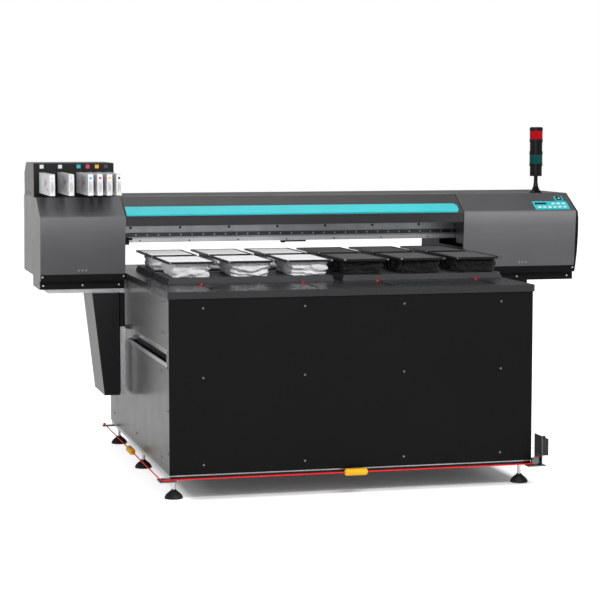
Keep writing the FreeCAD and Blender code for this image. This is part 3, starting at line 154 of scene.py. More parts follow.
def noise_value(tree, vector, scale, detail=3.0, roughness=0.5):
    node = tree.nodes.new("ShaderNodeTexNoise")
    node.inputs["Scale"].default_value = scale
    node.inputs["Detail"].default_value = detail
    node.inputs["Roughness"].default_value = roughness
    tree.links.new(vector, node.inputs["Vector"])
    return node.outputs["Fac"]


def ramp(tree, value, stops, constant=False):
    node = tree.nodes.new("ShaderNodeValToRGB")
    node.color_ramp.interpolation = "CONSTANT" if constant else "LINEAR"
    elements = node.color_ramp.elements
    while len(elements) < len(stops):
        elements.new(0.5)
    for element, (place, colour) in zip(elements, stops):
        element.position = place
        element.color = (*colour, 1)
    tree.links.new(value, node.inputs["Fac"])
    return node.outputs["Color"]


def maths(tree, operation, first, second=0.0):
    node = tree.nodes.new("ShaderNodeMath")
    node.operation = operation
    for socket, value in zip(node.inputs, (first, second)):
        if isinstance(value, (int, float)):
            socket.default_value = value
        else:
            tree.links.new(value, socket)
    return node.outputs["Value"]


def mix_colour(tree, factor, first, second):
    node = tree.nodes.new("ShaderNodeMix")
    node.data_type = "RGBA"
    for name, value in (("Factor", factor), ("A", first), ("B", second)):
        if isinstance(value, tuple):
            node.inputs[name].default_value = (*value, 1)
        else:
            tree.links.new(value, node.inputs[name])
    return node.outputs["Result"]


def between(tree, value, low, high):
    """1 where a value lies between two limits."""
    above = maths(tree, "GREATER_THAN", value, low)
    return maths(tree, "MULTIPLY", above, maths(tree, "LESS_THAN", value, high))


def split_place(tree, output="Object"):
    point = tree.nodes.new("ShaderNodeTexCoord")
    split = tree.nodes.new("ShaderNodeSeparateXYZ")
    tree.links.new(point.outputs[output], split.inputs["Vector"])
    return split.outputs["X"], split.outputs["Y"], split.outputs["Z"]


def repaint(material, mask, colour):
    """Lays a colour over a material's own, where the mask is 1."""
    tree = material.node_tree
    socket = tree.nodes["Principled BSDF"].inputs["Base Color"]
    tree.links.new(mix_colour(tree, mask, socket.links[0].from_socket, colour), socket)
    return material


def overlay(material, colour, *limits):
    """Repaints the part of a material that lies inside all the limits: an axis and its two ends."""
    tree = material.node_tree
    place = dict(zip("XYZ", split_place(tree)))
    mask = 1.0
    for axis, low, high in limits:
        mask = maths(tree, "MULTIPLY", between(tree, place[axis], low, high), mask)
    return repaint(material, mask, colour)


def spot(material, colour, y, z, radius):
    """Repaints a round spot of a face that looks sideways."""
    tree = material.node_tree
    place = split_place(tree)
    reach = 0.0
    for value, centre in ((place[1], y), (place[2], z)):
        offset = maths(tree, "SUBTRACT", value, centre)
        reach = maths(tree, "ADD", maths(tree, "MULTIPLY", offset, offset), reach)
    repaint(material, maths(tree, "LESS_THAN", reach, radius * radius), colour)


def bump(tree, shader, height, strength, distance):
    node = tree.nodes.new("ShaderNodeBump")
    node.inputs["Strength"].default_value = strength
    node.inputs["Distance"].default_value = distance
    tree.links.new(height, node.inputs["Height"])
    tree.links.new(node.outputs["Normal"], shader.inputs["Normal"])


def shade(colour, factor):
    return tuple(min(1.0, channel * factor) for channel in colour)


def cloudy(tree, value, colour, dark, light, low=0.3, high=0.7):
    """A colour that goes from darker to lighter as a value goes from low to high."""
    return ramp(tree, value, ((low, shade(colour, dark)), (high, shade(colour, light))))


def vary_gloss(tree, shader, value, smoothest, roughest):
    gloss = tree.nodes.new("ShaderNodeMapRange")
    gloss.inputs["To Min"].default_value = smoothest
    gloss.inputs["To Max"].default_value = roughest
    tree.links.new(value, gloss.inputs["Value"])
    tree.links.new(gloss.outputs["Result"], shader.inputs["Roughness"])


def painted(name, colour, rough=0.42, grain=900.0, metallic=0.0, specular=0.3, painted_shading=None,
            peel_depth=0.0004):
    """Powder coat or satin paint: a fine orange peel, cloudy colour and a few rubbed patches.

    painted_shading gives stops of height and strength: painted light and shade that make a face lighter or
    darker higher up.
    """
    material, tree, shader = new_material(name)
    point = object_point(tree)
    clouds = noise_value(tree, point, 2.3, 4.0)
    tone = cloudy(tree, clouds, colour, 0.93, 1.07)
    # Painted light and shade: the colour is multiplied by a ramp over height.
    if painted_shading:
        # A ramp holds values up to 1, so it holds half of each strength and the result is doubled.
        foot = painted_shading[0][0]
        stops = [(level - foot, (strength / 2,) * 3) for level, strength in painted_shading]
        height = maths(tree, "SUBTRACT", split_place(tree)[2], foot)
        node = tree.nodes.new("ShaderNodeVectorMath")
        node.operation = "MULTIPLY"
        tree.links.new(tone, node.inputs[0])
        tree.links.new(ramp(tree, height, stops), node.inputs[1])
        double = tree.nodes.new("ShaderNodeVectorMath")
        double.operation = "SCALE"
        double.inputs["Scale"].default_value = 2.0
        tree.links.new(node.outputs["Vector"], double.inputs[0])
        tone = double.outputs["Vector"]
    tree.links.new(tone, shader.inputs["Base Color"])
    smear = noise_value(tree, point, 7.0, 5.0, 0.6)
    vary_gloss(tree, shader, smear, rough - 0.05, rough + 0.07)
    shader.inputs["Metallic"].default_value = metallic
    shader.inputs["Specular IOR Level"].default_value = specular
    bump(tree, shader, noise_value(tree, point, grain, 2.0), 0.08, peel_depth)
    return material


def two_faced(name, front, other):
    """Paint in one colour on the faces that look forward and another on the rest."""
    material, tree, shader = new_material(name)
    point = object_point(tree)
    clouds = noise_value(tree, point, 3.0, 4.0)
    front_tone = cloudy(tree, clouds, front, 0.92, 1.08)
    other_tone = cloudy(tree, clouds, other, 0.94, 1.06)
    forward = maths(tree, "LESS_THAN", split_place(tree, "Normal")[1], -0.6)
    tree.links.new(mix_colour(tree, forward, other_tone, front_tone), shader.inputs["Base Color"])
    shader.inputs["Roughness"].default_value = 0.42
    shader.inputs["Specular IOR Level"].default_value = 0.18
    bump(tree, shader, noise_value(tree, point, 900.0, 2.0), 0.12, 0.0006)
    return material


def brushed(name, colour, rough, lines_along=LINES_ALONG_X):
    """Metal with fine lines along one direction and dull spots."""
    material, tree, shader = new_material(name)
    lines = noise_value(tree, object_point(tree, lines_along), 3.0, 4.0, 0.65)
    spots = noise_value(tree, object_point(tree), 14.0, 4.0)
    tree.links.new(cloudy(tree, spots, colour, 0.86, 1.08, high=0.72), shader.inputs["Base Color"])
    vary_gloss(tree, shader, lines, rough - 0.08, rough + 0.12)
    shader.inputs["Metallic"].default_value = 1.0
    bump(tree, shader, lines, 0.10, 0.0004)
    return material


def moulded(name, colour, rough, grain=1400.0, specular=0.25):
    """Moulded plastic or rubber with a fine spark grain."""
    material, tree, shader = new_material(name)
    point = object_point(tree)
    cells = tree.nodes.new("ShaderNodeTexVoronoi")
    cells.inputs["Scale"].default_value = grain
    tree.links.new(point, cells.inputs["Vector"])
    wear = noise_value(tree, point, 18.0, 4.0)
    tree.links.new(cloudy(tree, wear, colour, 0.9, 1.1), shader.inputs["Base Color"])
    vary_gloss(tree, shader, wear, rough - 0.06, rough + 0.08)
    shader.inputs["Specular IOR Level"].default_value = specular
    bump(tree, shader, cells.outputs["Distance"], 0.18, 0.0005)
    return material


def knitted(name, colour, sheen, rough=0.88, specular=0.15, depth=0.55):
    """T-shirt cloth: fine rib lines of the knit over soft creases, darkened in the creases as painted shade,
    with a sheen.
    """
    material, tree, shader = new_material(name)
    point = object_point(tree)
    wales = tree.nodes.new("ShaderNodeTexWave")
    wales.wave_type = "BANDS"
    wales.bands_direction = "DIAGONAL"
    wales.inputs["Scale"].default_value = 420.0
    wales.inputs["Distortion"].default_value = 1.5
    tree.links.new(point, wales.inputs["Vector"])
    creases = noise_value(tree, object_point(tree, (9.0, 6.0, 26.0)), 3.2, 4.0, 0.55)
    # Painted shade: the colour is darker where the creases sink in.
    tone = cloudy(tree, creases, colour, 0.86, 1.05, 0.25, 0.75)
    tree.links.new(tone, shader.inputs["Base Color"])
    shader.inputs["Roughness"].default_value = rough
    shader.inputs["Sheen Weight"].default_value = sheen
    shader.inputs["Sheen Roughness"].default_value = 0.5
    shader.inputs["Specular IOR Level"].default_value = specular
    height = maths(tree, "ADD", maths(tree, "MULTIPLY", wales.outputs["Fac"], 0.06), creases)
    bump(tree, shader, height, depth, 0.006)
    return material


def ribbed_lens(name, colour, glow):
    """A beacon lens: coloured plastic with fine upright ribs and rings, painted darker between the ribs and
    lighter on them as painted shade and highlight, and a faint glow.
    """
    material, tree, shader = new_material(name)
    tower = middle_of("tower_red_lens")
    point = tree.nodes.new("ShaderNodeTexCoord")
    shift = tree.nodes.new("ShaderNodeMapping")
    shift.inputs["Location"].default_value = (-tower.x, -tower.y, 0)
    tree.links.new(point.outputs["Object"], shift.inputs["Vector"])
    split = tree.nodes.new("ShaderNodeSeparateXYZ")
    tree.links.new(shift.outputs["Vector"], split.inputs["Vector"])
    angle = maths(tree, "ARCTAN2", split.outputs["Y"], split.outputs["X"])
    ribs = maths(tree, "SINE", maths(tree, "MULTIPLY", angle, 44.0))
    rings = maths(tree, "SINE", maths(tree, "MULTIPLY", split.outputs["Z"], 900.0))
    height = maths(tree, "ADD", ribs, maths(tree, "MULTIPLY", rings, 0.5))
    # Painted shade and highlight: darker between the ribs, lighter on them.
    rib_shade_and_highlight = maths(tree, "ADD", maths(tree, "MULTIPLY", height, 0.3), 0.5)
    tree.links.new(cloudy(tree, rib_shade_and_highlight, colour, 0.55, 1.25, 0.1, 0.9), shader.inputs["Base Color"])
    shader.inputs["Roughness"].default_value = 0.34
    shader.inputs["Specular IOR Level"].default_value = 0.08
    shader.inputs["Emission Color"].default_value = (*colour, 1)
    shader.inputs["Emission Strength"].default_value = glow
    bump(tree, shader, height, 0.5, 0.0012)
    return material


def banded_along_x(name, places, colours):
    """One colour for each band of X, for a row of tags that are one node."""
    material, tree, shader = new_material(name)
    span = tree.nodes.new("ShaderNodeMapRange")
    span.inputs["From Min"].default_value = places[0]
    span.inputs["From Max"].default_value = places[-1]
    tree.links.new(split_place(tree)[0], span.inputs["Value"])
    wide = places[-1] - places[0]
    stops = [((place - places[0]) / wide, colour) for place, colour in zip(places, colours)]
    base = ramp(tree, span.outputs["Result"], stops, constant=True)
    specks = maths(tree, "MULTIPLY", noise_value(tree, object_point(tree), 160.0, 3.0), 0.12)
    tree.links.new(mix_colour(tree, specks, base, (0.3, 0.3, 0.3)), shader.inputs["Base Color"])
    shader.inputs["Roughness"].default_value = 0.4
    return material


def banded_rails(low, high):
    """Frame aluminium, with the rail beams behind the side slots black and ribbed."""
    rib_pitch, inset, foot, head = 0.010, 0.035, 0.500, 0.650
    material = brushed("Rail aluminium", (0.50, 0.51, 0.52), 0.34, LINES_ALONG_Y)
    tree = material.node_tree
    x, y, z = split_place(tree)
    ribs = maths(tree, "SINE", maths(tree, "MULTIPLY", y, math.tau / rib_pitch))
    tone = ramp(tree, maths(tree, "ADD", maths(tree, "MULTIPLY", ribs, 0.5), 0.5),
                ((0.3, (0.006, 0.006, 0.006)), (0.8, (0.030, 0.030, 0.031))))
    inside = maths(tree, "MULTIPLY", between(tree, x, low.x + inset, high.x - inset),
                   between(tree, z, low.z + foot, low.z + head))
    metallic = tree.nodes["Principled BSDF"].inputs["Metallic"]
    tree.links.new(maths(tree, "SUBTRACT", 1.0, inside), metallic)
    return repaint(material, inside, tone)


def dress(node, material):
    """Gives a node of the frame its finish."""
    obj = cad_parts[node]
    if not obj.material_slots:
        obj.data.materials.append(material)
    for place in obj.material_slots:
        place.material = material


def dress_all(material, *nodes):
    for node in nodes:
        dress(node, material)


# ---------------- mesh helpers
def add_piece(name, bm, material, body):
    """Turns a bmesh into a piece with its finish, and sets it on the body that it rides."""
    mesh = bpy.data.meshes.new(name)
    bm.to_mesh(mesh)
    bm.free()
    obj = bpy.data.objects.new(name, mesh)
    bpy.context.scene.collection.objects.link(obj)
    mesh.materials.append(material)
    if body:
        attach(obj, body)
    return obj


def smooth_faces(mesh):
    for face in mesh.polygons:
        face.use_smooth = True


def join_rows(bm, grid, closed):
    """Faces between the neighbouring points of a grid; a closed grid goes right round."""
    for row, above in zip(grid, grid[1:]):
        for index in range(len(row) if closed else len(row) - 1):
            after = (index + 1) % len(row)
            bm.faces.new((row[index], row[after], above[after], above[index]))


def add_block(bm, low, high, turn=None, radius=0.0, segments=2):
    """A block between two corners, turned about its middle, with rounded edges."""
    low, high = Vector(low), Vector(high)
    made = bmesh.ops.create_cube(bm, size=1.0)["verts"]
    bmesh.ops.scale(bm, vec=high - low, verts=made)
    if radius:
        edges = {edge for vert in made for edge in vert.link_edges}
        bevelled = bmesh.ops.bevel(bm, geom=list(edges), offset=radius, segments=segments, profile=0.5,
                                   affect="EDGES")
        made = list({vert for face in bevelled["faces"] for vert in face.verts})
    if turn:
        bmesh.ops.rotate(bm, cent=(0, 0, 0), matrix=turn, verts=made)
    bmesh.ops.translate(bm, vec=(low + high) / 2, verts=made)


def add_disc(bm, centre, radius, thick, turn, segments=32):
    """A disc that narrows a little towards one face."""
    made = bmesh.ops.create_cone(bm, cap_ends=True, segments=segments, radius1=radius,
                                 radius2=radius * 0.94, depth=thick)["verts"]
    bmesh.ops.rotate(bm, cent=(0, 0, 0), matrix=turn, verts=made)
    bmesh.ops.translate(bm, vec=centre, verts=made)


# ---------------- garments
def rounded_ring(half_x, half_y, corner, count):
    """Points round a rounded rectangle, evenly spaced, as (x, y, outward x, outward y)."""
    straight_x, straight_y = half_x - corner, half_y - corner
    arc = math.pi * corner / 2
    total = 4 * straight_x + 4 * straight_y + 4 * arc
    points = []
    for index in range(count):
        run = total * index / count
        for side, length in enumerate((2 * straight_y, arc, 2 * straight_x, arc) * 2):
            if run <= length or side == 7:
                break
            run -= length
        quarter = side // 2
        turn = quarter * math.pi / 2
        long = (straight_y, straight_x)[quarter % 2]
        across = (half_x, half_y)[quarter % 2]
        if side % 2 == 0:
            x, y, nx, ny = across, -long + run, 1.0, 0.0
        else:
            angle = run / corner
            x = across - corner + corner * math.cos(angle)
            y = long + corner * math.sin(angle)
            nx, ny = math.cos(angle), math.sin(angle)
        c, s = math.cos(turn), math.sin(turn)
        points.append((x * c - y * s, x * s + y * c, nx * c - ny * s, nx * s + ny * c))
    return points


def settle(obj, pinned, frames, extra):
    """Lets the cloth buckle between its pinned edges, with more cloth than the gap needs."""
    group = obj.vertex_groups.new(name="held")
    group.add(pinned, 1.0, "REPLACE")
    cloth = obj.modifiers.new("settle", "CLOTH")
    options = cloth.settings
    options.quality = 5
    options.mass = 0.2
    options.tension_stiffness = 15
    options.compression_stiffness = 15
    options.shear_stiffness = 5
    options.bending_stiffness = 0.25
    options.air_damping = 3
    options.vertex_group_mass = "held"
    options.shrink_min = -extra
    options.shrink_max = -extra
    options.effector_weights.gravity = 0.15
    cloth.collision_settings.use_collision = False
    scene = bpy.context.scene
    for step in range(1, frames + 1):
        scene.frame_set(step)
    depsgraph = bpy.context.evaluated_depsgraph_get()
    settled = [vert.co.copy() for vert in obj.evaluated_get(depsgraph).data.vertices]
    obj.modifiers.remove(cloth)
    scene.frame_set(1)
    return settled


def fold_depth(x, y, up, spot):
    """How far the cloth stands out of the bundle's plain wall, in metres.

    The folded layers sweep sideways and up, with a slow wander and a few sharp grooves between them.
    """
    wander = noise.noise(Vector((x * 5, y * 5, up * 0.8)) + spot)
    sweep = 9.0 * (x + y) * noise.noise(spot * 1.3)
    phase = up * math.pi * 2.3 + sweep + 2.6 * noise.noise(Vector((x * 8, y * 8, up * 1.2)) - spot)
    layer = abs(math.sin(phase))
    fine = abs(noise.noise(Vector((x * 9, y * 9, up * 4.5)) + spot * 2))
    groove = max(0.0, 0.16 - fine)
    return 0.009 * wander + 0.017 * (layer - 0.62) - 0.016 * groove


def make_bundle(name, low, high, material, seed, sizes):
    """A folded garment gathered between the pallet and its hoop, slimmer towards its back."""
    middle = (low + high) / 2
    half_x = (high.x - low.x) / 2 - BUNDLE_WALL[0]
    half_y = (high.y - low.y) / 2 - BUNDLE_WALL[1]
    core_x, core_y = half_x - BUNDLE_CORE[0], half_y - BUNDLE_CORE[1]
    foot, head = low.z + BUNDLE_EDGE, high.z - BUNDLE_EDGE
    around, rows = 150, 17
    ring = rounded_ring(half_x, half_y, BUNDLE_CORNER, around)
    spot = Vector((seed * 3.7, seed * 1.9, 0))
    bm = bmesh.new()
    grid = []
    for row in range(rows):
        up = row / (rows - 1)
        free = math.sin(up * math.pi) ** 0.6
        line = []
        for x, y, nx, ny in ring:
            slim = 1 - sizes.slim * (y + half_y) / (2 * half_y)
            out = free * fold_depth(x, y, up, spot) - BUNDLE_LEAN * (1 - up)
            line.append(bm.verts.new((middle.x + (x + nx * out) * slim, middle.y + y + ny * out,
                                      foot + (high.z - low.z - 2 * BUNDLE_EDGE) * up)))
        grid.append(line)
    join_rows(bm, grid, closed=True)
    obj = add_piece(name, bm, material, "base")
    pinned = list(range(around)) + list(range(around * (rows - 1), around * rows))
    settled = settle(obj, pinned, sizes.cloth_frames, sizes.crumple)
    for vert, place in zip(obj.data.vertices, settled):
        x = min(max(place.x, low.x - sizes.bulge), high.x + sizes.bulge)
        y = min(max(place.y, low.y - sizes.bulge), high.y + sizes.bulge)
        z = min(max(place.z, foot), head)
        dx, dy = x - middle.x, y - middle.y
        slim = 1 - sizes.slim * (min(max(dy / half_y, -1), 1) + 1) / 2
        if abs(dx) < core_x * slim and abs(dy) < core_y:
            grow = min(core_x * slim / max(abs(dx), 1e-6), core_y / max(abs(dy), 1e-6))
            x, y = middle.x + dx * grow, middle.y + dy * grow
        vert.co = (x, y, z)
    refine(obj)
    return obj


def refine(obj):
    """Rounds the cloth with one subdivision, applied."""
    smoother = obj.modifiers.new("smooth", "SUBSURF")
    smoother.levels = 1
    depsgraph = bpy.context.evaluated_depsgraph_get()
    mesh = bpy.data.meshes.new_from_object(obj.evaluated_get(depsgraph))
    obj.modifiers.remove(smoother)
    obj.data = mesh
    smooth_faces(mesh)


def make_chest(name, low, high, material, seed):
    """The part of the shirt that is stretched flat inside the hoop, tucked down at its edge."""
    across, along = 24, 40
    skin, tuck_depth, wave_depth = 0.0006, 0.0016, 0.0003
    bm = bmesh.new()
    grid = []
    for row in range(along + 1):
        line = []
        for column in range(across + 1):
            u, v = column / across, row / along
            tuck = tuck_depth if min(u, 1 - u, v, 1 - v) == 0 else 0.0
            wave = wave_depth * noise.noise(Vector((u * 5 + seed, v * 8, seed)))
            line.append(bm.verts.new((low.x + (high.x - low.x) * u, low.y + (high.y - low.y) * v,
                                      high.z - skin - tuck + wave)))
        grid.append(line)
    join_rows(bm, grid, closed=False)
    obj = add_piece(name, bm, material, "base")
    smooth_faces(obj.data)
    return obj


def each_platen():
    """Colour, row, place, left side and front of every platen, from its garments' node."""
    for colour in ("white", "black"):
        low = corners(colour + "_garments")[0]
        for row in range(2):
            for place in range(3):
                yield (colour, row, place, low.x - BUNDLE_INSET.x + PLATEN_PITCH * place,
                       low.y - BUNDLE_INSET.y + ROW_PITCH * row)


class PRINTER_OT_garments(bpy.types.Operator):
    """Makes the folded white and black shirts on their platens"""
    bl_idname = "printer.garments"
    bl_label = "Garments"

    def execute(self, context):
        sizes = context.scene.printer_sizes
        # Painted light and shade: the folded bundles wear a darker copy of each jersey and the chests
        # stretched in the hoops a lighter copy.
        shaded_cloths = {
            "white": knitted("White jersey", (0.66, 0.66, 0.67), 0.10),
            "black": knitted("Black jersey", (0.006, 0.006, 0.0065), 0.14),
        }
        lit_tops = {
            "white": knitted("White jersey stretched, painted light", (0.93, 0.93, 0.94), 1.0, 0.45, 0.6, 0.04),
            "black": knitted("Black jersey stretched, painted light", (0.010, 0.010, 0.011), 0.15, 0.6, 0.3, 0.08),
        }
        hoop_foot = corners("hoop_frames")[0].z
        for colour, row, place, left, near in each_platen():
            node = colour + "_garments"
            low, high = corners(node)
            right, far = left + PLATEN_WIDE, near + PLATEN_DEEP
            seed = row * 3 + place + (7 if colour == "black" else 0)
            name = "shirt_%s_%d_%d" % (colour, row, place)
            bundle = make_bundle(
                name, Vector((left + BUNDLE_INSET.x, near + BUNDLE_INSET.y, low.z)),
                Vector((right - BUNDLE_INSET.x, far - BUNDLE_INSET.y, hoop_foot - HOOP_GAP)),
                shaded_cloths[colour], seed, sizes)
            chest = make_chest(name + "_chest", Vector((left + RIM, near + RIM, low.z)),
                               Vector((right - RIM, far - RIM, high.z)), lit_tops[colour], seed)
            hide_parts(node)
            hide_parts(node)
        return {"FINISHED"}


class PRINTER_OT_hoop_clips(bpy.types.Operator):
    """Makes the small steel catches at the four corners of each hoop"""
    bl_idname = "printer.hoop_clips"
    bl_label = "Hoop catches"

    def execute(self, context):
        level = middle_of("hoop_frames").z
        wide, thick, inset, proud = 0.010, 0.002, 0.006, 0.0015
        bm = bmesh.new()
        for *_, left, near in each_platen():
            for x in (left + inset, left + PLATEN_WIDE - inset - wide):
                for y in (near - proud, near + PLATEN_DEEP + proud - thick):
                    add_block(bm, (x, y, level - 0.002), (x + wide, y + thick, level + 0.003), radius=0.0006)
        add_piece("hoop_catches", bm, brushed("Catch steel", (0.30, 0.30, 0.31), 0.30), "base")
        return {"FINISHED"}


# ---------------- ink cartridges
CARTRIDGE_DOTS = ((0.55, 0.55, 0.55), (0.55, 0.55, 0.55), (0.0, 0.40, 0.62), (0.72, 0.03, 0.09),
                  (0.82, 0.42, 0.01), (0.03, 0.03, 0.035))


class PRINTER_OT_cartridges(bpy.types.Operator):
    """Makes each ink cartridge: its rounded case, labels, marks, colour dots and catch"""
    bl_idname = "printer.cartridges"
    bl_label = "Ink cartridges"

    def execute(self, context):
        case = moulded("Cartridge white", (0.70, 0.70, 0.71), 0.40)
        label = painted("Cartridge label", (0.60, 0.60, 0.62), 0.3)
        dark = moulded("Cartridge dark", (0.02, 0.02, 0.022), 0.5)
        amber = moulded("Cartridge amber", (0.78, 0.20, 0.03), 0.4)
        for number, colour in enumerate(CARTRIDGE_DOTS, 1):
            node = "ink_cartridge_%d" % number
            low, high = corners(node)
            bm = bmesh.new()
            add_block(bm, low, high, radius=0.0022)
            body = add_piece("case_%d" % number, bm, case, node)
            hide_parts(node)
            long = high.y - low.y
            bm = bmesh.new()
            for side in (low.x, high.x):
                add_block(bm, (side - 0.0002, low.y + long * 0.10, low.z + 0.014),
                          (side + 0.0002, low.y + long * 0.42, high.z - 0.014))
            add_piece("label_%d" % number, bm, label, node)
            bm = bmesh.new()
            add_disc(bm, ((low.x + high.x) / 2, low.y - 0.0002, high.z - 0.020), 0.0065, 0.0008, FACE_FRONT)
            ink = moulded("Ink dot %d" % number, colour, 0.35)
            add_piece("dot_%d" % number, bm, ink, node)
            bm = bmesh.new()
            add_block(bm, (low.x + 0.004, low.y - 0.0003, low.z + 0.016),
                      (high.x - 0.004, low.y + 0.0006, high.z - 0.034), radius=0.0002, segments=1)
            add_piece("front_label_%d" % number, bm, label, node)
            self.add_marks(number, node, low, high, dark, amber)
            bm = bmesh.new()
            add_block(bm, (low.x + 0.0015, low.y + long * 0.60, high.z - 0.0002),
                      (high.x - 0.0015, low.y + long * 0.66, high.z + 0.006), radius=0.001)
            add_piece("catch_%d" % number, bm, dark, node)
        return {"FINISHED"}

    def add_marks(self, number, node, low, high, dark, amber):
        """Three lines in front, and two dots, a slanted bar and a line on each side."""
        long = high.y - low.y
        bm = bmesh.new()
        for place in range(3):
            x = low.x + 0.0085 + place * 0.005
            add_block(bm, (x - 0.0006, low.y - 0.0005, low.z + 0.020 + place * 0.004),
                      (x + 0.0006, low.y - 0.0001, high.z - 0.040 - place * 0.006))
        for side in (low.x, high.x):
            add_disc(bm, (side, low.y + long * 0.135, low.z + 0.030), 0.0055, 0.0010, FACE_SIDE, 20)
            add_block(bm, (side - 0.0004, low.y + long * 0.22, low.z + 0.046),
                      (side + 0.0004, low.y + long * 0.25, low.z + 0.074), Matrix.Rotation(0.5, 3, "X"))
            add_block(bm, (side - 0.0004, low.y + long * 0.30, low.z + 0.030),
                      (side + 0.0004, low.y + long * 0.31, high.z - 0.030))
        add_piece("marks_%d" % number, bm, dark, node)
        bm = bmesh.new()
        for side in (low.x, high.x):
            add_disc(bm, (side, low.y + long * 0.20, low.z + 0.060), 0.0050, 0.0011, FACE_SIDE, 20)
        add_piece("side_dot_%d" % number, bm, amber, node)


# ---------------- pods and beam
class PRINTER_OT_pod_details(bpy.types.Operator):
    """Makes the small slanted pips on each pod with a painted shadow under each, its lower bolts, and dark
    discs of painted shade for the rack's holes
    """
    bl_idname = "printer.pod_details"
    bl_label = "Pod details"

    def execute(self, context):
        sizes = context.scene.printer_sizes
        light = painted("Pip light", (0.30, 0.30, 0.31), 0.35)
        dark = moulded("Pip shadow and hole shade", (0.012, 0.012, 0.013), 0.5)
        bolt = brushed("Bolt steel", (0.62, 0.62, 0.62), 0.22)
        face_rise, face_lean = 0.291, 0.023  # the pods' front faces lean back towards their feet
        bolts = bmesh.new()
        for node, middle_in in (("left_pod_front", 0.213), ("right_pod_front", 0.339)):
            low, high = corners(node)
            # Painted shadow: a dark copy of each pip sits just below it.
            for name, shadow_drop, paint in (("pip", 0.0, light), ("pip_shade", -0.0035, dark)):
                bm = bmesh.new()
                for place in (-1, 0, 1):
                    x = low.x + middle_in + place * 0.019
                    z = low.z + 0.019 + shadow_drop
                    y = low.y + face_lean * (1 - (z - low.z) / face_rise)
                    add_block(bm, (x - sizes.pip_long / 2, y - 0.0006 - shadow_drop * 0.1, z - 0.0022),
                              (x + sizes.pip_long / 2, y + 0.0012, z + 0.0022),
                              Matrix.Rotation(math.radians(-52), 3, "Y"), radius=0.0005)
                add_piece(name + "_" + node, bm, paint, "gantry")
            for x in (low.x + 0.009, high.x - 0.009):
                add_disc(bolts, (x, low.y + 0.0222, low.z - 0.0125), 0.005, 0.003, FACE_FRONT, 20)
            for x in (low.x + 0.016, (low.x + high.x) / 2, high.x - 0.030):
                add_disc(bolts, (x, low.y + 0.0522, low.z - 0.058), 0.005, 0.003, FACE_FRONT, 20)
        add_piece("pod_bolts", bolts, bolt, "gantry")
        bm = bmesh.new()
        # Painted shade: dark discs stand for the holes in the rack's side.
        rack = corners("ink_rack")[0]
        for back in (0.155, 0.283):
            add_disc(bm, (rack.x - 0.0002, rack.y + back, rack.z + 0.016), 0.006, 0.002, FACE_SIDE, 20)
        add_piece("rack_hole_shades", bm, dark, "gantry")
        return {"FINISHED"}


class PRINTER_OT_beam_details(bpy.types.Operator):
    """Makes the screws of the beam, the caps in its rail and the red line under the grip"""
    bl_idname = "printer.beam_details"
    bl_label = "Beam details"

    def execute(self, context):
        beam_low, beam_high = corners("gantry_beam")
        rail_low, rail_high = corners("x_rail")
        level = (rail_low.z + rail_high.z) / 2
        screw_pitch, cap_pitch = 0.264, 0.060
        bm = bmesh.new()
        x = beam_low.x + 0.110
        while x < beam_high.x:
            add_disc(bm, (x, beam_low.y - 0.001, level + 0.037), 0.007, 0.003, FACE_FRONT, 20)
            add_disc(bm, (x + 0.05, beam_low.y - 0.0002, beam_low.z + 0.008), 0.0045, 0.001, FACE_FRONT, 16)
            x += screw_pitch
        add_piece("beam_screws", bm, moulded("Screw black", (0.012, 0.012, 0.012), 0.35), "gantry")
        bm = bmesh.new()
        x = rail_low.x + 0.030
        while x < rail_high.x:
            add_disc(bm, (x, rail_low.y - 0.0001, level), 0.0042, 0.0002, FACE_FRONT, 20)
            x += cap_pitch
        add_piece("rail_caps", bm, brushed("Rail cap", (0.52, 0.52, 0.52), 0.3), "gantry")
        cover_low, cover_high = corners("front_cover")
        bend = cover_low.z + COVER_LIP
        bm = bmesh.new()
        add_block(bm, (cover_low.x + 0.010, cover_low.y - 0.0009, bend - 0.005),
                  (cover_high.x - 0.010, cover_low.y + 0.0002, bend - 0.001), radius=0.0003, segments=1)
        add_piece("grip_line", bm, moulded("Line red", (0.060, 0.008, 0.009), 0.4), "front_cover")
        return {"FINISHED"}


class PRINTER_OT_side_slots(bpy.types.Operator):
    """Makes the aluminium edges of the slots in the base's sides"""
    bl_idname = "printer.side_slots"
    bl_label = "Slot edges"

    def execute(self, context):
        low, high = corners("side_panels")
        slot_low, slot_high = low.z + 0.493, low.z + 0.576
        start, end = low.y + 0.053, high.y - 0.003
        foot, head = slot_low + 0.021, slot_high - 0.0045
        bm = bmesh.new()
        for side, inward in ((low.x, 1), (high.x, -1)):
            near, far = sorted((side + inward * 0.0005, side + inward * 0.007))
            add_block(bm, (near, start, slot_low), (far, end, foot), radius=0.0012)
            add_block(bm, (near, start, head), (far, end, slot_high), radius=0.0008)
            add_block(bm, (near, start - 0.0015, foot), (far, start + 0.004, head), radius=0.0008)
        add_piece("slot_edges", bm,
                  brushed("Slot aluminium", (0.55, 0.55, 0.56), 0.28, LINES_ALONG_Y), "base")
        return {"FINISHED"}


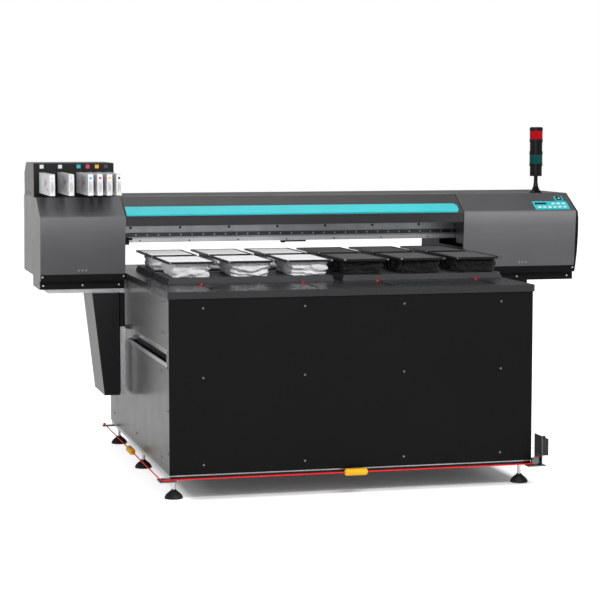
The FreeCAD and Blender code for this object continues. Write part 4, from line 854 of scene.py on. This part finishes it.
# ---------------- finishes of the frame's nodes
class PRINTER_OT_base_finishes(bpy.types.Operator):
    """Paints the base, its table, feet, rails and rope"""
    bl_idname = "printer.base_finishes"
    bl_label = "Base finishes"

    def execute(self, context):
        colours = context.scene.printer_colours
        front = painted("Front panel paint", tuple(colours.front), 0.46, specular=0.07)
        foot = corners("side_panels")[0].z
        # Painted light and shade: the side panels are darker near the floor and much lighter higher up.
        side = painted("Side panel paint with painted shading", tuple(colours.side), 0.24, 500.0, specular=0.22, peel_depth=0.0001,
                       painted_shading=((foot, 0.80), (foot + 0.45, 1.0), (foot + 0.70, 1.8)))
        steel = brushed("Bright steel", (0.60, 0.60, 0.61), 0.26)
        board = painted("Pallet board", (0.050, 0.050, 0.053), 0.36, specular=0.3)
        dress_all(front, "front_panel", "rear_panel")
        dress("side_panels", side)
        dress("panel_screws", brushed("Screw steel", (0.20, 0.20, 0.205), 0.34))
        dress("table_top", painted("Table paint", tuple(colours.table), 0.26, 500.0, specular=0.40,
                                   peel_depth=0.00006))
        dress("groove_stops", moulded("Stop red", (0.55, 0.010, 0.012), 0.4))
        # Painted shade: the frame's front face is darkened along its foot.
        posts = corners("frame_posts")[0]
        shaded_foot = (("Y", posts.y - PAST, posts.y + 0.001), ("Z", posts.z - PAST, posts.z + FOOT_BAND))
        dress("frame_posts", overlay(brushed("Frame aluminium", (0.56, 0.57, 0.58), 0.36), FOOT_SHADE,
                                     *shaded_foot))
        dress("frame_rails", overlay(banded_rails(*corners("frame_rails")), FOOT_SHADE, *shaded_foot))
        dress("foot_pads", moulded("Foot rubber", (0.012, 0.012, 0.012), 0.55))
        dress_all(steel, "foot_screws", "y_drive_shaft")
        rail_foot = corners("y_rails")[0].z
        dress("y_rails", overlay(brushed("Guide steel", (0.62, 0.62, 0.63), 0.24, LINES_ALONG_Y),
                                 (0.03, 0.03, 0.03), ("Z", rail_foot - PAST, rail_foot + 0.026)))
        dress("electronics_box", painted("Cabinet paint", (0.20, 0.20, 0.20), 0.45))
        dress_all(board, "pallet_boards", "platens")
        dress("hoop_frames", painted("Hoop black", (0.010, 0.010, 0.011), 0.34, specular=0.22))
        dress("safety_rope", moulded("Rope red", (0.80, 0.012, 0.016), 0.55, 500.0, specular=0.1))
        dress_all(brushed("Dark steel", (0.16, 0.16, 0.165), 0.30),
                  "rope_brackets", "rope_pulley_left", "rope_pulley_right")
        dress("rope_switch", moulded("Switch black", (0.02, 0.02, 0.022), 0.45))
        dress("rope_sleeves", moulded("Sleeve yellow", (0.80, 0.42, 0.012), 0.42, specular=0.12))
        return {"FINISHED"}


# Holes in the left pod's side, painted as dark spots of shade: distance back, height and radius. The last
# three run into one slot.
SIDE_HOLES = ((0.345, 0.101, 0.006), (0.367, 0.026, 0.005), (0.264, 0.299, 0.003),
              (0.328, 0.230, 0.0055), (0.334, 0.230, 0.0055), (0.340, 0.230, 0.0055))
# The colour tags behind the cartridges: their left ends, from the start of their row, and their colours.
TAG_ENDS = (-0.001, 0.060, 0.150, 0.215, 0.262, 0.310)
TAG_COLOURS = ((0.75, 0.75, 0.75), (0.75, 0.75, 0.75), (0.0, 0.42, 0.52), (0.62, 0.02, 0.08),
               (0.80, 0.42, 0.01), (0.02, 0.02, 0.02), (0.02, 0.02, 0.02))


class PRINTER_OT_gantry_finishes(bpy.types.Operator):
    """Paints the gantry, its pods, arms, carriage and tower"""
    bl_idname = "printer.gantry_finishes"
    bl_label = "Gantry finishes"

    def execute(self, context):
        colours = context.scene.printer_colours
        face_low, face_high = corners("left_pod_front")
        foot, bend, brow = face_low.z, face_low.z + 0.285, face_high.z - 0.09
        # Painted light and shade: the covers are darker near their feet and lighter higher up; the right
        # pod's front is a lighter copy of the same paint, painted light.
        cover = painted("Cover paint with painted shading", tuple(colours.cover), 0.50, 1200.0, 0.25,
                        painted_shading=((foot, 0.92), (foot + 0.12, 1.0), (foot + 0.20, 1.25), (bend, 1.75),
                              (brow, 1.75), (brow + 0.005, 1.40)))
        right = painted("Right cover paint, painted lighter", shade(tuple(colours.cover), 1.25), 0.50, 1200.0, 0.25,
                        painted_shading=((foot, 0.95), (foot + 0.12, 1.0), (foot + 0.22, 1.25), (bend, 1.9),
                              (brow, 1.9), (brow + 0.005, 0.85)))
        dark = painted("Dark metal", (0.0045, 0.0045, 0.005), 0.42, specular=0.09)
        side = painted("Pod side paint", (0.175, 0.175, 0.174), 0.34, specular=0.22)
        plastic = moulded("Carriage plastic", (0.020, 0.020, 0.021), 0.42)
        steel = brushed("Pulley steel", (0.55, 0.56, 0.58), 0.24)
        dress_all(cover, "left_pod_front", "pod_covers", "centre_cover")
        dress("right_pod_front", right)
        lip = corners("front_cover")[0].z
        # Painted shade: the hinged cover is a darker copy of the cover paint.
        shaded_hinged_cover = painted("Hinged cover paint, painted shade", shade(tuple(colours.cover), 0.36), 0.34, 1200.0)
        dress("front_cover", overlay(shaded_hinged_cover, (0.026, 0.026, 0.029),
                                     ("Z", lip - PAST, lip + COVER_LIP - 0.0005)))
        low = corners("left_pod_side")[0]
        # Painted shade: each hole is a dark spot on the pod's side.
        for back, up, radius in SIDE_HOLES:
            spot(side, (0.010, 0.010, 0.010), low.y + back, low.z + up, radius)
        dress("left_pod_side", side)
        dress_all(dark, "right_pod_side", "pod_floors", "pod_end_plates")
        dress("arm_boxes", two_faced("Arm box paint", (0.008, 0.008, 0.009), (0.205, 0.203, 0.196)))
        # The arms are bare at their feet and at the left one's top, and black elsewhere.
        arm_low, arm_high = corners("arm_brackets")
        arm_black = (0.018, 0.018, 0.019)
        arm = brushed("Arm aluminium", (0.50, 0.51, 0.52), 0.36, LINES_ALONG_Z)
        overlay(arm, arm_black, ("Z", arm_low.z + 0.352, arm_high.z - 0.021))
        overlay(arm, arm_black, ("X", (arm_low.x + arm_high.x) / 2, arm_high.x + PAST),
                ("Z", arm_high.z - 0.022, arm_high.z + PAST))
        dress("arm_brackets", arm)
        beam_foot = corners("gantry_beam")[0].z
        aluminium = brushed("Beam aluminium", (0.52, 0.54, 0.565), 0.38)
        dress("gantry_beam", overlay(aluminium, (0.86, 0.88, 0.90),
                                     ("Z", beam_foot - PAST, beam_foot + 0.021)))
        dress("x_rail", brushed("Rail blackened", (0.085, 0.085, 0.088), 0.30))
        dress("beam_fittings", moulded("Fitting black", (0.014, 0.014, 0.015), 0.45))
        dress_all(steel, "x_drive_pulley", "x_idler_pulley")
        dress("drive_motors", painted("Motor black", (0.03, 0.03, 0.032), 0.4))
        dress("x_belt", moulded("Belt rubber", (0.015, 0.015, 0.015), 0.6))
        dress_all(plastic, "carriage_shell", "cap_station")
        dress("print_heads", brushed("Head metal", (0.35, 0.35, 0.36), 0.3))
        dress("grip_bar", painted("Grip teal", tuple(colours.grip), 0.34, 1600.0))
        self.dress_panel(painted("Panel teal", tuple(colours.grip), 0.30, 1600.0))
        dress("ink_rack", two_faced("Rack paint", (0.010, 0.010, 0.011), (0.16, 0.158, 0.150)))
        dress("tower_body", moulded("Tower black", (0.004, 0.004, 0.0045), 0.24, specular=0.16))
        dress("tower_red_lens", ribbed_lens("Lens red", (0.40, 0.0, 0.003), 0.02))
        dress("tower_green_lens", ribbed_lens("Lens green", (0.0, 0.062, 0.060), 0.01))
        low, high = corners("ink_tags")
        ends = [low.x + end for end in TAG_ENDS] + [high.x + 0.001]
        dress("ink_tags", banded_along_x("Tag colours", ends, TAG_COLOURS))
        return {"FINISHED"}

    def dress_panel(self, teal):
        """The operator panel: a dark screen, pale keys, and a white mark in the black power button."""
        button = middle_of("power_button")
        dress("control_panel", overlay(teal, PANEL_BLACK, ("X", button.x - 0.0165, button.x + 0.0165),
                                       ("Z", button.z - 0.0088, button.z + 0.0088)))
        dress("power_button", overlay(moulded("Button black", PANEL_BLACK, 0.35), (0.75, 0.75, 0.75),
                                      ("X", button.x - 0.0055, button.x + 0.0055),
                                      ("Z", button.z - 0.0030, button.z + 0.0030)))
        low, high = corners("panel_keys")
        dress("panel_keys", overlay(moulded("Key pale", (0.62, 0.78, 0.80), 0.4), (0.010, 0.016, 0.018),
                                    ("X", low.x - PAST, low.x + 0.0655),
                                    ("Z", high.z - 0.0125, high.z + PAST)))


# ---------------- stage
CAMERA_PLACE = Vector((-2.5945, -9.6455, 1.738))
CAMERA_AIM = Vector((0.2446, 0.9654, -0.0905))
CAMERA_LENS = 117.24


def add_lamp(name, place, aim, size, power):
    lamp = bpy.data.lights.new(name, "AREA")
    lamp.shape = "RECTANGLE"
    lamp.size, lamp.size_y = size
    lamp.energy = power
    obj = bpy.data.objects.new(name, lamp)
    obj.location = place
    obj.rotation_euler = (Vector(aim) - Vector(place)).to_track_quat("-Z", "Y").to_euler()
    bpy.context.scene.collection.objects.link(obj)


class PRINTER_OT_stage(bpy.types.Operator):
    """Sets the pale floor, the soft lights and the camera"""
    bl_idname = "printer.stage"
    bl_label = "Stage"

    def execute(self, context):
        scene = context.scene
        scene.view_settings.view_transform = "Standard"
        bm = bmesh.new()
        bmesh.ops.create_grid(bm, x_segments=1, y_segments=1, size=30.0)
        material, tree, shader = new_material("Pale floor")
        tone = ramp(tree, noise_value(tree, object_point(tree), 0.6, 2.0),
                    ((0.3, (0.86, 0.86, 0.86)), (0.7, (0.90, 0.90, 0.90))))
        tree.links.new(tone, shader.inputs["Base Color"])
        tree.links.new(self.floor_glow_and_painted_shadow(tree), shader.inputs["Emission Color"])
        seen = tree.nodes.new("ShaderNodeLightPath").outputs["Is Camera Ray"]
        strength = maths(tree, "ADD", 0.5, maths(tree, "MULTIPLY", seen, 0.5))
        tree.links.new(strength, shader.inputs["Emission Strength"])
        shader.inputs["Roughness"].default_value = 0.7
        floor = add_piece("floor", bm, material, None)
        floor.location.z = CAD_BOX[0][2] - 0.0005
        self.light_world(scene)
        add_lamp("Front box", (-3.6, -7.0, 2.4), (0, 0, 0.9), (4.5, 3.0), 95)
        add_lamp("Platen box", (0.4, -3.3, 3.2), (-0.1, 0.1, 1.05), (2.6, 1.0), 135)
        add_lamp("Side box", (-6.5, 0.5, 2.2), (-1.2, 0, 0.6), (3.0, 3.0), 40)
        add_lamp("Top box", (0.5, 1.6, 5.5), (0, 0.2, 1.0), (4, 2), 60)
        camera = bpy.data.cameras.new("Camera")
        camera.lens = CAMERA_LENS
        camera.sensor_width = 36
        camera.clip_end = 100
        obj = bpy.data.objects.new("Camera", camera)
        obj.location = CAMERA_PLACE
        obj.rotation_euler = CAMERA_AIM.to_track_quat("-Z", "Y").to_euler()
        scene.collection.objects.link(obj)
        scene.camera = obj
        return {"FINISHED"}

    def floor_glow_and_painted_shadow(self, tree):
        """White glowing floor with a painted shadow under the printer's base."""
        x, y, _ = split_place(tree)
        low, high = corners("table_top")
        middle = (low + high) / 2
        outside = []
        for value, centre, half in ((x, middle.x + 0.05, high.x - middle.x - 0.08),
                                    (y, middle.y, high.y - middle.y - 0.02)):
            offset = maths(tree, "ABSOLUTE", maths(tree, "SUBTRACT", value, centre))
            outside.append(maths(tree, "SUBTRACT", offset, half))
        # A ramp starts at 0, so the distance outside the base is raised to show some of its inside.
        inside_reach = 0.3
        distance = maths(tree, "ADD", maths(tree, "MAXIMUM", *outside), inside_reach)
        # Painted shadow: the glow is dark under the base and white outside it.
        return ramp(tree, distance, ((0.16, (0.04, 0.04, 0.04)), (0.29, (0.12, 0.12, 0.12)),
                                     (0.36, (0.70, 0.70, 0.70)), (0.80, (1.0, 1.0, 1.0))))

    def light_world(self, scene):
        """White to the camera; for what the printer reflects, dim overhead and bright low down behind it."""
        world = bpy.data.worlds.new("Studio")
        scene.world = world
        world.use_nodes = True
        tree = world.node_tree
        background = tree.nodes["Background"]
        _, back, up = split_place(tree, "Generated")
        sky = ramp(tree, up, ((0.0, (0.62, 0.62, 0.62)), (0.35, (0.26, 0.26, 0.26)),
                              (1.0, (0.16, 0.16, 0.16))))
        behind = ramp(tree, back, ((0.55, (0.0, 0.0, 0.0)), (0.95, (1.0, 1.0, 1.0))))
        level = ramp(tree, up, ((0.0, (1.0, 1.0, 1.0)), (0.20, (0.0, 0.0, 0.0))))
        sky = mix_colour(tree, maths(tree, "MULTIPLY", behind, level), sky, (1.0, 1.0, 1.0))
        path = tree.nodes.new("ShaderNodeLightPath")
        seen = mix_colour(tree, path.outputs["Is Camera Ray"], sky, (1.0, 1.0, 1.0))
        tree.links.new(seen, background.inputs["Color"])
        background.inputs["Strength"].default_value = 1.0


class PRINTER_PT_panel(bpy.types.Panel):
    """Lists the printer's pieces"""
    bl_idname = "PRINTER_PT_panel"
    bl_label = "Flatbed printer"
    bl_space_type = "VIEW_3D"
    bl_region_type = "UI"
    bl_category = "Printer"

    def draw(self, context):
        for operator in OPERATORS:
            self.layout.operator(operator.bl_idname)
        for name in ("crumple", "slim", "cloth_frames", "bulge", "pip_long"):
            self.layout.prop(context.scene.printer_sizes, name)
        for name in ("cover", "side", "front", "table", "grip"):
            self.layout.prop(context.scene.printer_colours, name)


OPERATORS = (
    PRINTER_OT_stage,
    PRINTER_OT_base_finishes,
    PRINTER_OT_gantry_finishes,
    PRINTER_OT_garments,
    PRINTER_OT_cartridges,
    PRINTER_OT_hoop_clips,
    PRINTER_OT_pod_details,
    PRINTER_OT_beam_details,
    PRINTER_OT_side_slots,
)
CLASSES = (PrinterSizes, PrinterColours, *OPERATORS, PRINTER_PT_panel)


def register():
    for item in CLASSES:
        bpy.utils.register_class(item)
    bpy.types.Scene.printer_sizes = PointerProperty(type=PrinterSizes)
    bpy.types.Scene.printer_colours = PointerProperty(type=PrinterColours)


def unregister():
    del bpy.types.Scene.printer_sizes
    del bpy.types.Scene.printer_colours
    for item in reversed(CLASSES):
        bpy.utils.unregister_class(item)


def main():
    register()
    bpy.ops.printer.stage()
    bpy.ops.printer.base_finishes()
    bpy.ops.printer.gantry_finishes()
    bpy.ops.printer.garments()
    bpy.ops.printer.cartridges()
    bpy.ops.printer.hoop_clips()
    bpy.ops.printer.pod_details()
    bpy.ops.printer.beam_details()
    bpy.ops.printer.side_slots()


if __name__ == "__main__":
    main()
